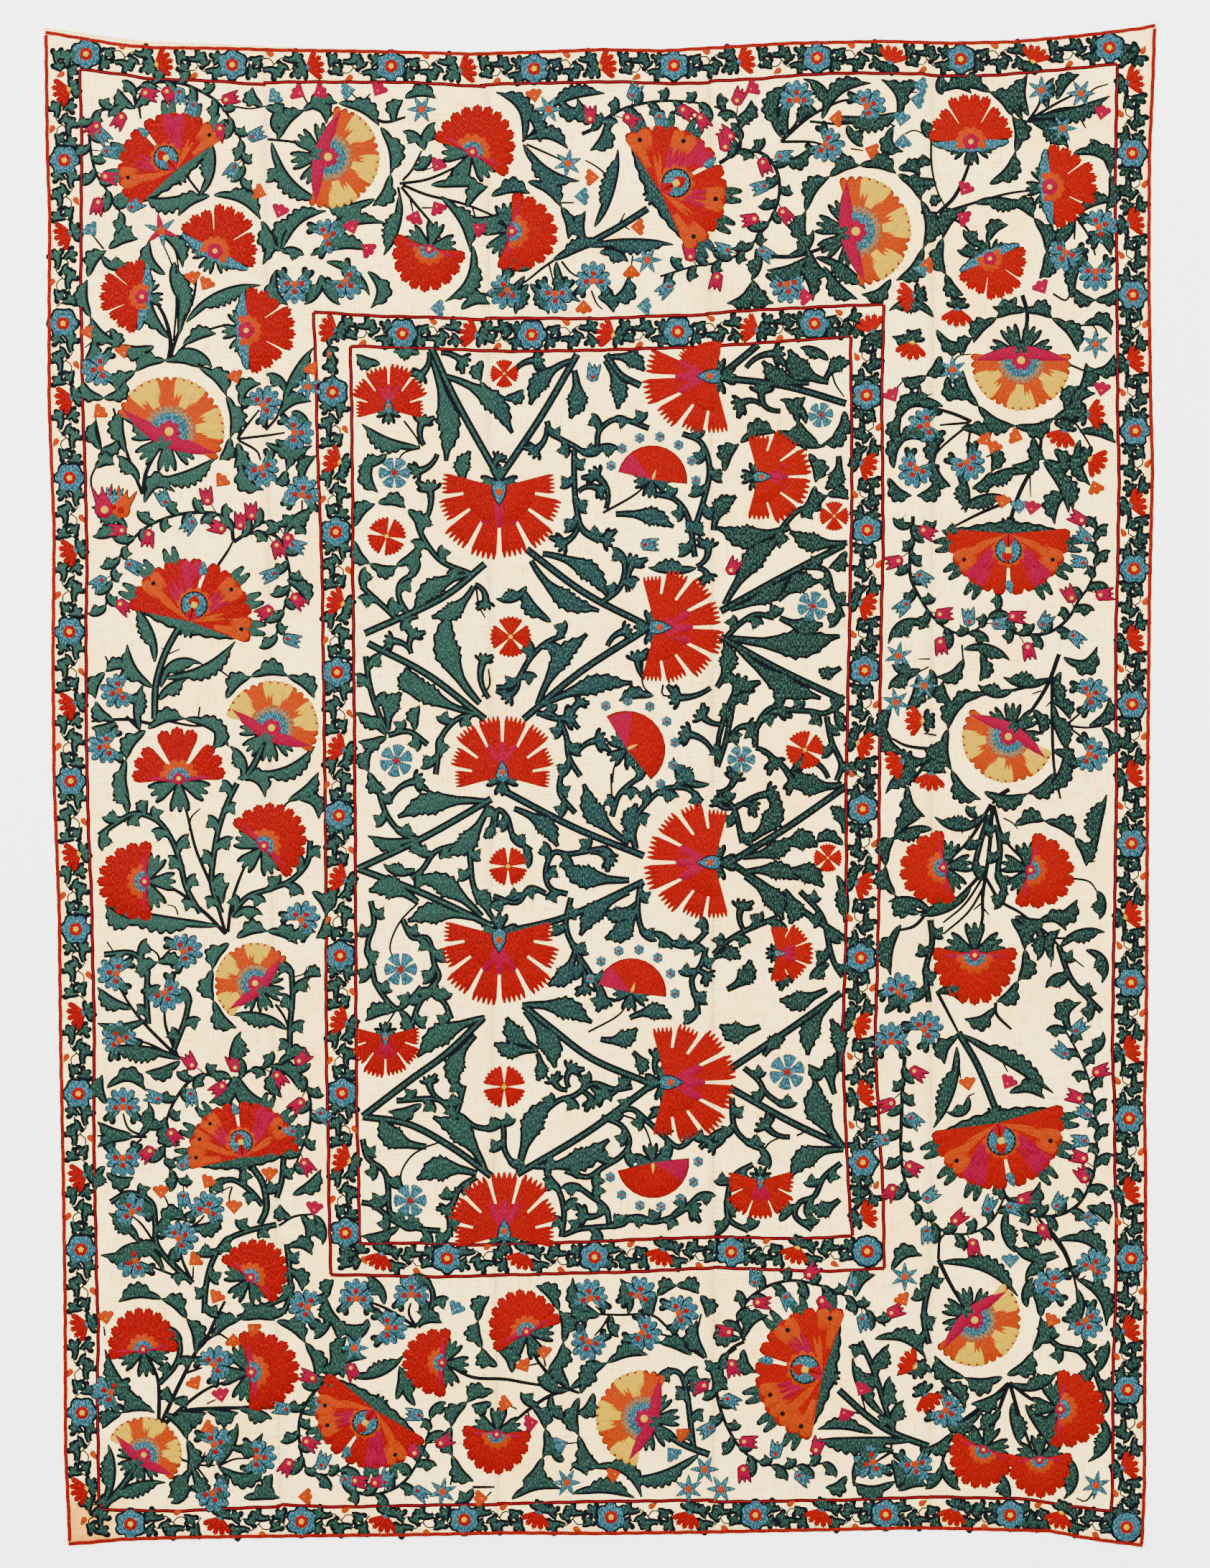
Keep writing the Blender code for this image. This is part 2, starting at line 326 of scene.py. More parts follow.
def silk_thread(name, shade, light, painted_tie_shade, row_mm=1.5, lots=None, low_lots=None):
    """Satin floss laid down in rows up the cloth and held by short slanting stitches. The rows and
    stitches are drawn about twice as coarse as real, so that they show. Lots are the shades of the
    thread in each panel, where the maker changed it at a seam, and low_lots those of the lower part.
    The light colour is a lighter copy of the thread's, painted as sheen in a speckle over the floss
    that also stands for its uneven tone; the third colour is a darker copy, painted as shade where the
    tie stitches press into the floss."""
    material, tree, shader = fresh_material(name)
    rows = 1000 / row_mm        # in a metre
    place = add(tree, "ShaderNodeTexCoord").outputs["Object"]
    floss = add(tree, "ShaderNodeMapping", Vector=place, Scale=(rows / 1.3, rows / 3.2, 1))
    floss = add(tree, "ShaderNodeTexNoise", Vector=floss.outputs[0], Scale=1, Detail=2, Roughness=0.6)
    slanted = add(tree, "ShaderNodeMapping", Vector=place, Rotation=(0, 0, 1.25))
    stitches = add(tree, "ShaderNodeTexBrick", {"offset": 0.5}, Vector=slanted.outputs[0],
                   Scale=rows / 4, Mortar_Size=0.07, Mortar_Smooth=0.6, Brick_Width=1.1, Row_Height=0.42,
                   Color1=(1, 1, 1, 1), Color2=(0.62, 0.62, 0.62, 1), Mortar=(0.1, 0.1, 0.1, 1))
    shade = linear(shade)
    if lots:
        apart = add(tree, "ShaderNodeSeparateXYZ", Vector=place)
        across = add(tree, "ShaderNodeMapRange", Value=apart.outputs["X"], From_Min=-1.0, From_Max=1.0)
        shade = by_panel(tree, across.outputs[0], lots)
    if low_lots:                # they take over from 28 to 42 cm below the middle
        low = add(tree, "ShaderNodeMapRange", Value=apart.outputs["Y"], From_Min=-0.28, From_Max=-0.42)
        shade = add(tree, "ShaderNodeMix", {"data_type": "RGBA"}, in0=low.outputs[0], in6=shade,
                    in7=by_panel(tree, across.outputs[0], low_lots)).outputs[2]
    # Painted sheen: the lighter copy of the thread's colour in a speckle over the floss, which also stands
    # for its uneven tone.
    sheen_and_tone_speckle = add(tree, "ShaderNodeMapRange", Value=floss.outputs[0], From_Min=0.47, From_Max=0.63)
    with_painted_sheen = add(tree, "ShaderNodeMix", {"data_type": "RGBA"}, in0=sheen_and_tone_speckle.outputs[0], in6=shade,
              in7=linear(light))
    # Painted shade: the darker copy of the thread's colour where the tie stitches press into the floss.
    tie_shade_mask = add(tree, "ShaderNodeMapRange", Value=stitches.outputs["Color"], From_Min=0.75, From_Max=0.1,
              To_Max=0.7)
    with_painted_shade = add(tree, "ShaderNodeMix", {"data_type": "RGBA"}, in0=tie_shade_mask.outputs[0], in6=with_painted_sheen.outputs[2],
                 in7=linear(painted_tie_shade))
    tree.links.new(with_painted_shade.outputs[2], shader.inputs["Base Color"])
    height = add(tree, "ShaderNodeMath", {"operation": "ADD"}, in0=floss.outputs[0],
                 in1=stitches.outputs["Color"])
    bump = add(tree, "ShaderNodeBump", Height=height.outputs[0], Strength=0.5, Distance=0.0006)
    tree.links.new(bump.outputs[0], shader.inputs["Normal"])
    shader.inputs["Roughness"].default_value = 0.7
    shader.inputs["Specular IOR Level"].default_value = 0.03
    return material


# Like every silk here, its second colour is a painted sheen and its third a painted shade at the ties.
braid_silk = silk_thread("worn_braid_silk", "580303", "7C160C", "280101", row_mm=1.2)
PLY = 0.7                   # cm for one twist of the plies
BRAID_RISE = 0.8            # mm
BRAID_ACROSS = np.array([-1.0, -0.8, -0.35, 0.0, 0.35, 0.8, 1.0])


def sew_braid(path):
    """A braid along a path: a low arch, with its two plies rising in turn on either side of the middle."""
    grid = ribbon(path, BRAID_HALF, across=BRAID_ACROSS)
    along = np.arange(len(path))[:, None] * np.hypot(*(path[1] - path[0])) / PLY * 2 * np.pi
    ply = 0.22 * np.sin(along + 2.2 * BRAID_ACROSS[None, :])
    arch = np.array([0, 0.9, 1, 0.92, 1, 0.9, 0])
    sew("braid", grid, BRAID_RISE, arch * (1 + ply))


def side_path(line, low, high):
    """Path up a line that is given by x at each y, with a slight wobble."""
    y = np.linspace(low, high, round((high - low) / (PLY / 4)))
    return np.stack([on_line(line, y) + WAVER * np.sin(y * 1.7), y], axis=-1)


def end_path(line, left, right):
    """Path along a line that is given by y at each x, with a slight wobble."""
    x = np.linspace(left, right, round((right - left) / (PLY / 4)))
    return np.stack([x, on_line(line, x) + WAVER * np.sin(x * 1.9)], axis=-1)


for name, path in (("top", end_path(TOP_LINE, -87.2, 87.4)),
                   ("bottom", end_path(BOTTOM_LINE, -83.5, 85.4)),
                   ("left", side_path(LEFT_LINE, -118.8, 118.2)),
                   ("right", side_path(RIGHT_LINE, -119.2, 119.2))):
    sew_braid(path)
    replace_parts(cut_off(f"edging_braid_{name}", "braid", braid_silk), f"edging_{name}")

# --- Seams -----------------------------------------------------------------------------------------
# The panels are joined edge to edge with small slanting stitches of cotton thread, close together, after
# they have been embroidered.
# Cotton sewing thread: matt, coloured as the cloth in shade, so that it paints shade along the seams.
seam_thread_in_shade, tree, shader = fresh_material("seam_thread_painted_shade")
shader.inputs["Base Color"].default_value = linear("B08E44")
shader.inputs["Roughness"].default_value = 0.9
STITCH_PITCH = 0.9          # cm from one seam stitch to the next
STITCH_REACH = 0.16         # cm to each side of the seam
SEAM_ENDS = (-116.5, 115.5)  # cm, between which the stitches run

for seam in SEAM_LINES:
    for y in np.arange(*SEAM_ENDS, STITCH_PITCH):
        x = on_line(seam, y)
        slant = 0.16 + 0.05 * np.sin(y * 5.1)
        path = np.array([(x - STITCH_REACH, y - slant / 2), (x, y), (x + STITCH_REACH, y + slant / 2)])
        sew("seam", ribbon(path, np.array([0.02, 0.045, 0.02])), 0.25)
cut_off("seam_stitches", "seam", seam_thread_in_shade)

# --- Guard lines -----------------------------------------------------------------------------------
# Lines of chain stitch that part the borders: a bright red core between two darker red outlines. Each
# panel was worked before it was sewn, so the lines step a little at the seams.
OUTER_FRAME = (  # the sides of the line inside the outer border, as x, y
    ((-81.8, 112.8), (-75, 112), (-70, 111.3), (-60, 110.9), (-52.7, 110.4), (-52.5, 110.7), (-40, 110.8),
    (-30, 110.7), (-20, 110.2), (-17.7, 110.1), (-17.5, 110.4), (0, 110.8), (10, 110.6), (17.2, 110.7),
    (17.4, 110.9), (25, 111.3), (30, 111.8), (40, 112.2), (50, 112.1), (52.4, 111.8), (60, 111.8),
    (70, 112.5), (75, 113), (81.4, 113.7)), ((81.5, 113.7), (81.1, 95), (81.4, 80), (81.5, 60), (81.7, 45),
    (81.2, 20), (81.3, 0), (81, -20), (80.7, -40), (81, -50), (81.1, -60), (81.3, -72), (81.2, -80),
    (80.8, -92), (80.7, -110), (80.5, -114)), ((80.5, -114.1), (75, -113.4), (70, -112.7), (67, -112.2),
    (60, -112), (52.2, -111.8), (51.9, -111.9), (45, -112.1), (35, -112.4), (18, -112.6), (17.8, -112.4),
    (5, -112.5), (-10, -112.8), (-15.9, -112.9), (-16.1, -113.1), (-25, -113.1), (-40, -113.4),
    (-50.1, -113.1), (-50.3, -113.4), (-60, -113.7), (-67, -114.1), (-78.4, -113.8)), ((-78.4, -113.8),
    (-78.8, -110), (-79, -95), (-78.9, -85), (-79.1, -78), (-79.4, -65), (-79.6, -50), (-79.5, -40),
    (-79.9, -20), (-80.6, 0), (-80.8, 20), (-80.7, 40), (-81.3, 60), (-81.6, 80), (-81.5, 100),
    (-81.8, 112.8)))
MIDDLE_FRAME = (
    ((-45, 74.6), (-35, 74), (-25, 73.7), (-17.7, 73.4), (-17.5, 73.6), (0, 73.6), (10, 74), (17.2, 74.2),
    (17.4, 74.4), (30, 75.2), (44.7, 75.8)), ((44.7, 75.8), (44.4, 60), (44.6, 40), (44.2, 20), (44, 0),
    (43.9, -20), (43.4, -40), (43.9, -52), (44.5, -62), (44.8, -75.9)), ((44.8, -75.9), (35, -76.3),
    (25, -76), (18, -75.7), (17.8, -75.8), (5, -76.4), (-10, -76.8), (-16.7, -76.9), (-16.9, -77),
    (-25, -77.2), (-35, -77), (-42.3, -76.9)), ((-42.3, -76.9), (-42.5, -68), (-42.8, -50), (-43, -40),
    (-43, -20), (-43.2, 0), (-43.7, 35), (-44.3, 50), (-44.6, 64), (-45, 74.6)))
INNER_FRAME = (
    ((-39.2, 69.2), (-30, 69), (-17.6, 68.5), (-5, 68.5), (5, 68.8), (17.2, 69.1), (17.4, 69.3),
    (25, 69.7), (39.5, 70.8)), ((39.5, 70.8), (39.7, 50), (39.6, 40), (39.2, 20), (38.8, 0), (38.8, -20),
    (38.3, -40), (38.6, -50), (39.1, -62), (39.8, -70.8)), ((39.8, -70.8), (30, -71.2), (18, -70.9),
    (17.8, -70.9), (5, -71.4), (-5, -71.8), (-16.8, -72.1), (-20, -72.2), (-30, -71.9), (-37.7, -72)),
    ((-37.7, -72), (-38, -60), (-38.2, -50), (-38.3, -40), (-38.5, 0), (-38.8, 30), (-38.9, 50),
    (-39.2, 69.2)))
LINE_HALF = 0.34            # cm, half the width of a guard line
CORE_HALF = 0.15            # cm, half the width of its bright core

# Silk in chain stitch: close small links, so it is darker and more even than the couched silk.
# Their second colours are a painted sheen and their third a painted shade at the ties.
chain_red = silk_thread("chain_stitch_dark_red", "260003", "3E0308", "120001", row_mm=1.2)
core_red = silk_thread("chain_stitch_bright_red", "5C0006", "74060C", "380002", row_mm=1.2)
for frame_sides in (OUTER_FRAME, MIDDLE_FRAME, INNER_FRAME):
    for side in frame_sides:
        path = smooth_path(side, 0.7)
        wobble = 0.04 * np.sin(path.sum(axis=1) * 1.3) + 0.03 * np.sin(path.sum(axis=1) * 0.37)
        sew("line", ribbon(path, LINE_HALF + wobble, LINE_HALF - wobble), 0.25)
        sew("core", ribbon(path, CORE_HALF + wobble, CORE_HALF - wobble), 0.42)
cut_off("guard_lines", "line", chain_red)
cut_off("guard_line_cores", "core", core_red)

# --- Narrow borders --------------------------------------------------------------------------------
# Outside and inside the wide border runs a band 5 cm wide: blue rosettes and red carnations in turn,
# with curling green leaves between them. Couched silk, with a line of near-black chain stitch round it.
LINE = 0.4                  # cm, width of the dark line round a shape
LINE_HEIGHT = 0.3           # mm that the dark line stands over the cloth
LEAF_HEIGHT = 0.5           # mm
ANGLE = np.pi / 180         # one degree


def away(x, y, aim, far):
    """The place this far from another, in one direction."""
    return x + np.cos(aim * ANGLE) * far, y + np.sin(aim * ANGLE) * far


def fan(x, y, aim, reach, spread, lobes=0, depth=0.2, inner=0.0, jag=0.0, teeth=0, nick=0.05, wide=1.0):
    """Grid of a fan of silk: rays spread about a direction, each as long as the reach less a scallop.
    The scallops are |sin| arches, `lobes` in number, and `teeth` adds finer ones; `jag` notches the
    inner rim, and `wide` stretches the fan across its direction. It has a ring of points for each 4 cm
    of its rays, so that it follows the cloth."""
    steps = max(8, int(spread / 14), 4 * lobes, 3 * teeth)
    turn = np.linspace(0, 1, steps + 1)[:, None]
    far = reach + 0 * turn
    if lobes:
        far = far - reach * depth * (1 - np.abs(np.sin(np.pi * lobes * turn)) ** 0.6)
    if teeth:
        far = far - reach * nick * (1 - np.abs(np.sin(np.pi * teeth * turn)))
    near = inner * (1 + jag * np.sin(np.arange(steps + 1) * 2.4)[:, None])
    rings = np.linspace(0, 1, 2 + int((reach - inner) / 4))[:-1]
    ray = np.concatenate([near + (far - ROLL - near) * rings, far - ROLL, far], axis=1)
    if inner:
        ray = np.concatenate([ray[:, :1], ray[:, :1] + ROLL, ray[:, 1:]], axis=1)
    angle = (turn - 0.5) * spread * ANGLE
    ahead, across = ray * np.cos(angle), ray * np.sin(angle) * wide
    way = aim * ANGLE
    return np.stack([x + ahead * np.cos(way) - across * np.sin(way),
                     y + ahead * np.sin(way) + across * np.cos(way)], axis=-1)


def sew_fan(silk, height, *place, **shape):
    """A fan in one silk, this many mm over the cloth, so that a flower's silks lie one over another.
    Where it is a ring, its inner rim is drawn in as well."""
    grid = fan(*place, **shape)
    rise = np.ones(grid.shape[1])
    rise[-1] = 0.0
    if shape.get("inner"):
        rise[0] = 0.0
    sew(silk, grid, height, rise)


def outlined_fan(silk, height, x, y, aim, reach, spread, line=LINE, edge="outline", **shape):
    """A fan with a dark line round it: a larger dark fan, set back by the line's width, lies under it."""
    back = line / max(0.35, np.sin(min(spread, 180) / 2 * ANGLE)) if spread < 340 else 0
    sew_fan(edge, LINE_HEIGHT, *away(x, y, aim, -back), aim, reach + back + line, spread, **shape)
    sew_fan(silk, height, x, y, aim, reach, spread, **shape)


def outlined_ribbon(silk, height, path, right, left=None, line=LINE):
    """A strip of silk with a dark line round it."""
    left = right if left is None else left
    sew("outline", ribbon(path, right + line, left + line), LINE_HEIGHT)
    sew(silk, ribbon(path, right, left), height)


def bow(x0, y0, x1, y1, bend, stops=8):
    """Path from one point to another that bows to its left by this share of its length. Stops are the
    number of even steps, or the shares of the length to stop at."""
    run = np.array([x1 - x0, y1 - y0])
    t = (np.linspace(0, 1, stops + 1) if isinstance(stops, int) else stops)[:, None]
    return [x0, y0] + run * t + np.array([-run[1], run[0]]) * bend * 4 * t * (1 - t)


def stem(half, *places):
    """A black stem through these places, given as x and y in turn, thinner towards its end."""
    path = smooth_path(places, 0.6)
    taper = 1.35 - 0.4 * np.linspace(0, 1, len(path)) ** 2
    sew("outline", ribbon(path, half * taper), 0.4)


def palm(x0, y0, x1, y1, bend, crown, lobes=3, spread=125, stalk=0.2):
    """A leaf whose curved stalk widens into a crown of round lobes, in cm. Gives back the foot of the
    crown and its direction."""
    path = bow(x0, y0, x1, y1, bend, 6)
    way = path[-1] - path[-2]
    aim = np.arctan2(way[1], way[0]) / ANGLE
    foot = path[-1] - way / np.hypot(*way) * crown * 0.5
    outlined_ribbon("leaf", LEAF_HEIGHT, path, stalk * (0.5 + 1.6 * np.linspace(0, 1, len(path)) ** 2))
    outlined_fan("leaf", LEAF_HEIGHT, *foot, aim, crown * 1.3, spread, lobes=lobes, depth=0.26)
    return foot, aim


def teardrop(silk, height, x, y, aim, length, half, line=0.0, edge="outline"):
    """A petal or bud from its foot to its pointed tip, widest a third of the way along."""
    t = np.linspace(0, 1, 9)
    path = np.stack(away(x, y, aim, t * length), axis=-1)
    wide = half * np.sin(np.pi * t ** 0.6) ** 0.8
    if line:
        sew(edge, ribbon(path, wide + line), LINE_HEIGHT)
    sew(silk, ribbon(path, wide), height)


ROSETTE = 2.35              # cm, half its width


def rosette(x, y, turn):
    """Six blue petals round a red ring and a yellow heart."""
    outlined_fan("blue", 0.5, x, y, turn, ROSETTE, 360, lobes=6, depth=0.26)
    sew_fan("red", 0.7, x, y, turn, ROSETTE * 0.47, 360, lobes=6, depth=0.1)
    sew_fan("yellow", 0.85, x, y, turn, ROSETTE * 0.24, 360, lobes=5, depth=0.25)


def small_carnation(x, y, aim, reach=2.6):
    """A fan of red petals on green sepals, with a spot of blue or yellow at its foot."""
    foot = away(x, y, aim, -reach * 0.5)
    for turn, length, lobes in ((-125, 0.6, 2), (125, 0.6, 2), (180, 0.5, 1)):
        outlined_fan("leaf", 0.45, *foot, aim + turn, reach * length, 50, lobes=lobes, depth=0.2)
    outlined_fan("red", 0.6, *foot, aim, reach * 1.22, 114, lobes=5, depth=0.24, teeth=15, nick=0.08,
                 line=0.07, edge="dark_red")
    sew_fan("blue" if int(x + y) % 3 else "yellow", 0.75, *foot, aim, reach * 0.3, 120, lobes=3, depth=0.3)


SCROLL = 8.4                # cm, the length that the scroll's places are given for


def curled_leaves(x, y, along, inward, length, flip):
    """The scroll between two flowers, worked out along the band (u) and across it (v): an S of black
    stem with green leaves on it, turned over by flip so that every second one curls the other way."""
    ahead = np.array(away(0, 0, along, 1))
    aside = np.array(away(0, 0, inward, 0.9 * flip))
    scale = length / SCROLL

    def put(*places):
        """Points of the band's own u and v, placed on the cover."""
        pairs = np.array(places, float).reshape(-1, 2)
        return [x, y] + pairs[:, :1] * scale * ahead + pairs[:, 1:] * aside

    for places in ((-4.3, -1.2, -3.0, 0.5, -1.2, 1.0, 0.2, -0.2, 1.5, -1.4, 3.1, -0.6, 2.9, 0.7, 1.8, 0.7),
                   (0.2, -0.2, -0.6, -1.2, -1.9, -1.1)):
        sew("outline", ribbon(smooth_path(put(*places), 0.5), 0.13), 0.4)
    turn = 1 if ahead[0] * aside[1] - ahead[1] * aside[0] > 0 else -1
    for u0, v0, u1, v1, bend, crown, stalk in (
            (-3.4, -0.1, -3.2, 1.3, 0.15, 1.05, 0.3), (-1.6, 0.9, 0.6, 1.3, -0.15, 1.1, 0.3),
            (-1.5, -1.2, -2.6, -0.7, 0.2, 0.95, 0.25), (1.6, -1.4, 3.8, -1.4, 0.15, 1.15, 0.3),
            (2.2, 0.8, 1.3, 0.3, 0.3, 0.85, 0.25), (3.1, 0.1, 3.9, 1.3, -0.15, 1, 0.25)):
        start, end = put(u0, v0, u1, v1)
        palm(*start, *end, bend * turn, crown * 0.9, stalk=stalk)
    bud = put(0.1, -1.7)[0]
    teardrop("orange", 0.55, *bud, along + 150 * flip, 1.5, 0.45, 0.06, "dark_red")


# Each side of a band: the direction along it, the direction inward, and its flowers in order, as the
# middle of each rosette (r) and carnation (c).
OUTER_BAND = (
    (0, -90, ((-80.8, 115.2, "r"), (-68.8, 113.8, "c"), (-57.8, 113.5, "r"), (-45, 113.3, "c"),
    (-32.8, 113.3, "r"), (-21, 112.8, "c"), (-10.3, 112.9, "r"), (1, 113.5, "c"), (11.7, 113.4, "r"),
    (22.8, 114.2, "c"), (34.2, 114.6, "r"), (46, 114.8, "c"), (56.8, 114.4, "r"), (68.5, 114.9, "c"),
    (80.2, 116.2, "r"))), (-90, 180, ((83.9, 111, "c"), (83.8, 99.6, "r"), (84, 88.8, "c"),
    (83.9, 77.3, "r"), (84, 67, "c"), (84.3, 55.9, "r"), (84.4, 44.5, "c"), (84.1, 34.2, "r"),
    (83.9, 23, "c"), (83.8, 12.9, "r"), (83.8, 1.8, "c"), (83.7, -9, "r"), (83.6, -20.3, "c"),
    (83.6, -30.9, "r"), (83.4, -41.5, "c"), (83.3, -52.3, "r"), (83.3, -63.8, "c"), (83.6, -74.3, "r"),
    (83.3, -85.5, "c"), (83.1, -95, "r"), (83.1, -107, "c"), (82.9, -116.6, "r"))), (180, 90,
    ((82.9, -116.6, "r"), (72.3, -115.2, "c"), (64.6, -114.7, "r"), (55.6, -114.7, "c"), (45, -114.6, "r"),
    (34.6, -114.8, "c"), (24.5, -114.7, "r"), (13.8, -115.2, "c"), (1.8, -115, "r"), (-9.9, -115.2, "c"),
    (-21.3, -115.4, "r"), (-34, -115.8, "c"), (-46.9, -115.7, "r"), (-60, -116.1, "c"),
    (-73.8, -116.1, "r"))), (90, 0, ((-81.6, -110.8, "c"), (-81.4, -98.6, "r"), (-81.6, -85, "c"),
    (-81.6, -72.9, "r"), (-81.9, -61.5, "c"), (-82, -48.4, "r"), (-82.1, -36, "c"), (-82.4, -22.5, "r"),
    (-82.8, -11, "c"), (-83.2, 0.8, "r"), (-83.4, 12.7, "c"), (-83.4, 24.3, "r"), (-83.3, 36.8, "c"),
    (-83.4, 48.5, "r"), (-84, 60.8, "c"), (-84.4, 72.8, "r"), (-84.2, 86.7, "c"), (-84.2, 98.5, "r"),
    (-84.4, 109.3, "c"))))
INNER_BAND = (
    (0, -90, ((-42.5, 72, "c"), (-31, 71.2, "r"), (-20.3, 71.2, "c"), (-10.7, 71, "r"), (1.2, 71.2, "c"),
    (12.3, 71.5, "r"), (23.8, 72, "c"), (33.8, 72.8, "r"), (42.6, 72.5, "c"))), (-90, 180,
    ((42, 61.5, "r"), (42, 50.5, "c"), (42.1, 40.3, "r"), (41.9, 28.5, "c"), (41.7, 18.2, "r"),
    (41.5, 6.5, "c"), (41.4, -3.6, "r"), (41.3, -15.5, "c"), (41.1, -27, "r"), (41, -37.5, "c"),
    (41.5, -48.5, "c"), (41.4, -59.2, "r"), (42, -67.5, "c"), (42.1, -73.2, "r"))), (180, 90,
    ((42.1, -73.2, "r"), (30.8, -73.5, "c"), (20.7, -73.3, "r"), (9.6, -73.8, "c"), (-0.8, -74.1, "r"),
    (-12.3, -74.4, "c"), (-24, -74.3, "r"), (-34.6, -74.5, "c"))), (90, 0, ((-40, -70.3, "r"),
    (-40.3, -58.7, "c"), (-40.5, -48.3, "r"), (-40.7, -37, "c"), (-40.8, -26.7, "r"), (-40.9, -14.5, "c"),
    (-41, -4.6, "r"), (-41.1, 6, "c"), (-41.3, 17.9, "r"), (-41.3, 29, "c"), (-41.5, 40, "r"),
    (-41.8, 51.3, "c"), (-42, 62, "r"))))

# Satin silk floss, dyed in small lots, so that its green and red change a little from panel to panel.
leaf_lots = ("1A2F28", "152923", "0B1C20", "07110F", "06100E")
low_leaf_lots = ("0F211B", "10231D", "0E1F1D", "0D1C18", "0B1914")
red_lots = ("5E0002", "600002", "640001", "680200", "660200")
# Each silk's second colour is a painted sheen on the floss and its third a painted shade at the tie
# stitches.
silks = {
    "outline": silk_thread("near_black_outline_silk", "030508", "090D14", "010102", row_mm=1.2),
    "leaf": silk_thread("green_leaf_silk", "11272C", "2B493E", "040B0A", lots=leaf_lots,
                        low_lots=low_leaf_lots),
    "blue": silk_thread("sky_blue_silk", "15323B", "3F6C77", "081A21"),
    "red": silk_thread("madder_red_silk", "640001", "7E0803", "400001", lots=red_lots),
    "yellow": silk_thread("larkspur_yellow_silk", "A07C00", "B08C00", "6D4A00"),
    "orange": silk_thread("orange_silk", "782000", "8A3002", "521200"),
    "magenta": silk_thread("lac_magenta_silk", "64001E", "780026", "3E000E"),
    "grizzled": silk_thread("grey_brown_silk", "4F3D2A", "7B6043", "2A2014"),
    "dark_red": silk_thread("dark_red_outline_silk", "2D0002", "3E0404", "180001", row_mm=1.2),
}


def finish_group(group):
    """Turns everything sewn since the last group into pieces, one for each silk."""
    for silk in sorted(waiting):
        cut_off(f"{group}_{silk}", silk, silks[silk])


SCROLL_ENDS = 4.2           # cm between two flowers' middles that their scroll leaves free
CORNER_SHIFT = 1.6          # cm outward, both ways, for the scroll at a corner
LEAN = 20                   # degrees that the carnations lean to each side in turn
TOP_LEFT_LEAN = 75          # degrees, the same along the left and middle of each band's top

for group, band in (("outer_band", OUTER_BAND), ("inner_band", INNER_BAND)):
    inward_before, before = band[-1][1], band[-1][2][-1]
    for along, inward, flowers in band:
        turns = np.array([inward, inward_before]) * ANGLE
        outward = -CORNER_SHIFT * np.array([np.cos(turns).sum(), np.sin(turns).sum()])
        for (x0, y0, kind0), (x1, y1, kind1) in zip((before, *flowers[:-1]), flowers):
            gap = np.hypot(x1 - x0, y1 - y0) - SCROLL_ENDS
            if gap > 2:         # the flowers aren't one and the same at a corner
                corner = min(abs(x1 - x0), abs(y1 - y0)) > 2
                x, y = np.array([x0 + x1, y0 + y1]) / 2 + outward * corner
                way = along if corner else np.arctan2(y1 - y0, x1 - x0) / ANGLE
                curled_leaves(x, y, way, inward, min(gap, SCROLL), 1 if kind0 == "r" else -1)
        inward_before, before = inward, flowers[-1]
        for number, (x, y, kind) in enumerate(flowers):
            if kind == "r":
                rosette(x, y, 30 * number)
            else:
                lean = TOP_LEFT_LEAN if along == 0 and x < 30 else LEAN
                small_carnation(x, y, inward + 180 + lean * (-1) ** number)
    finish_group(group)

# --- Wide border: stems and leaves -----------------------------------------------------------------
# Black chain-stitched stems spread from nodes at the seams, and green leaves of couched silk with lobed
# crests curve off them and close in rings round the large flowers.
def leaf_along(way, length, crest):
    """A leaf with a smooth side and a crest of round lobes, narrowing to both its ends. The way gives
    the points at some shares of its length, and the crest's height in cm is above nought on its left.
    Both sides are sine arches of the length, and the lobes are |sine| arches on the crested one."""
    lobes = int(np.clip(length / 1.6, 3, 7))
    t = np.concatenate([np.linspace(0, 0.24, 4), np.linspace(0.28, 0.88, 3 * lobes + 1), [0.94, 1.0]])
    smooth = 0.33 * np.sin(np.pi * t ** 0.75) ** 0.7 + 0.05 * (1 - t)
    arch = np.clip((t - 0.28) / 0.6, 0, 1)
    lobed = 0.66 + 0.34 * np.abs(np.sin(np.pi * lobes * arch)) ** 0.7
    crested = smooth + abs(crest) * 1.25 * np.sin(np.pi * arch ** 0.9) ** 0.7 * lobed
    right, left = (smooth, crested) if crest > 0 else (crested, smooth)
    line = LINE * np.minimum(1, 0.4 + 3 * np.minimum(t, 1 - t))
    outlined_ribbon("leaf", LEAF_HEIGHT, way(t), right, left, line)


def sickle(x0, y0, x1, y1, bend, crest):
    """A crested leaf from its foot to its pointed tip, on a bowed line."""
    leaf_along(lambda t: bow(x0, y0, x1, y1, bend, t), np.hypot(x1 - x0, y1 - y0), crest)


def ring(x, y, reach, *arcs):
    """Leaves along a circle, each from one angle to another, with its crest on the outside."""
    for first, last, crest in arcs:
        def way(t):
            """Points on the arc, which swells a little in its middle."""
            turn, bulge = (first + (last - first) * t) * ANGLE, reach * (1 + 0.03 * np.sin(np.pi * t))
            return np.stack([x + bulge * np.cos(turn), y + bulge * np.sin(turn)], axis=-1)
        leaf_along(way, abs(last - first) * ANGLE * reach, crest if last < first else -crest)


STEM_STEP = 0.5             # cm between two points of a stem's path


def heading(path, here):
    """Direction of a path at one of its points."""
    way = path[here + 1] - path[here - 1]
    return np.arctan2(way[1], way[0]) / ANGLE


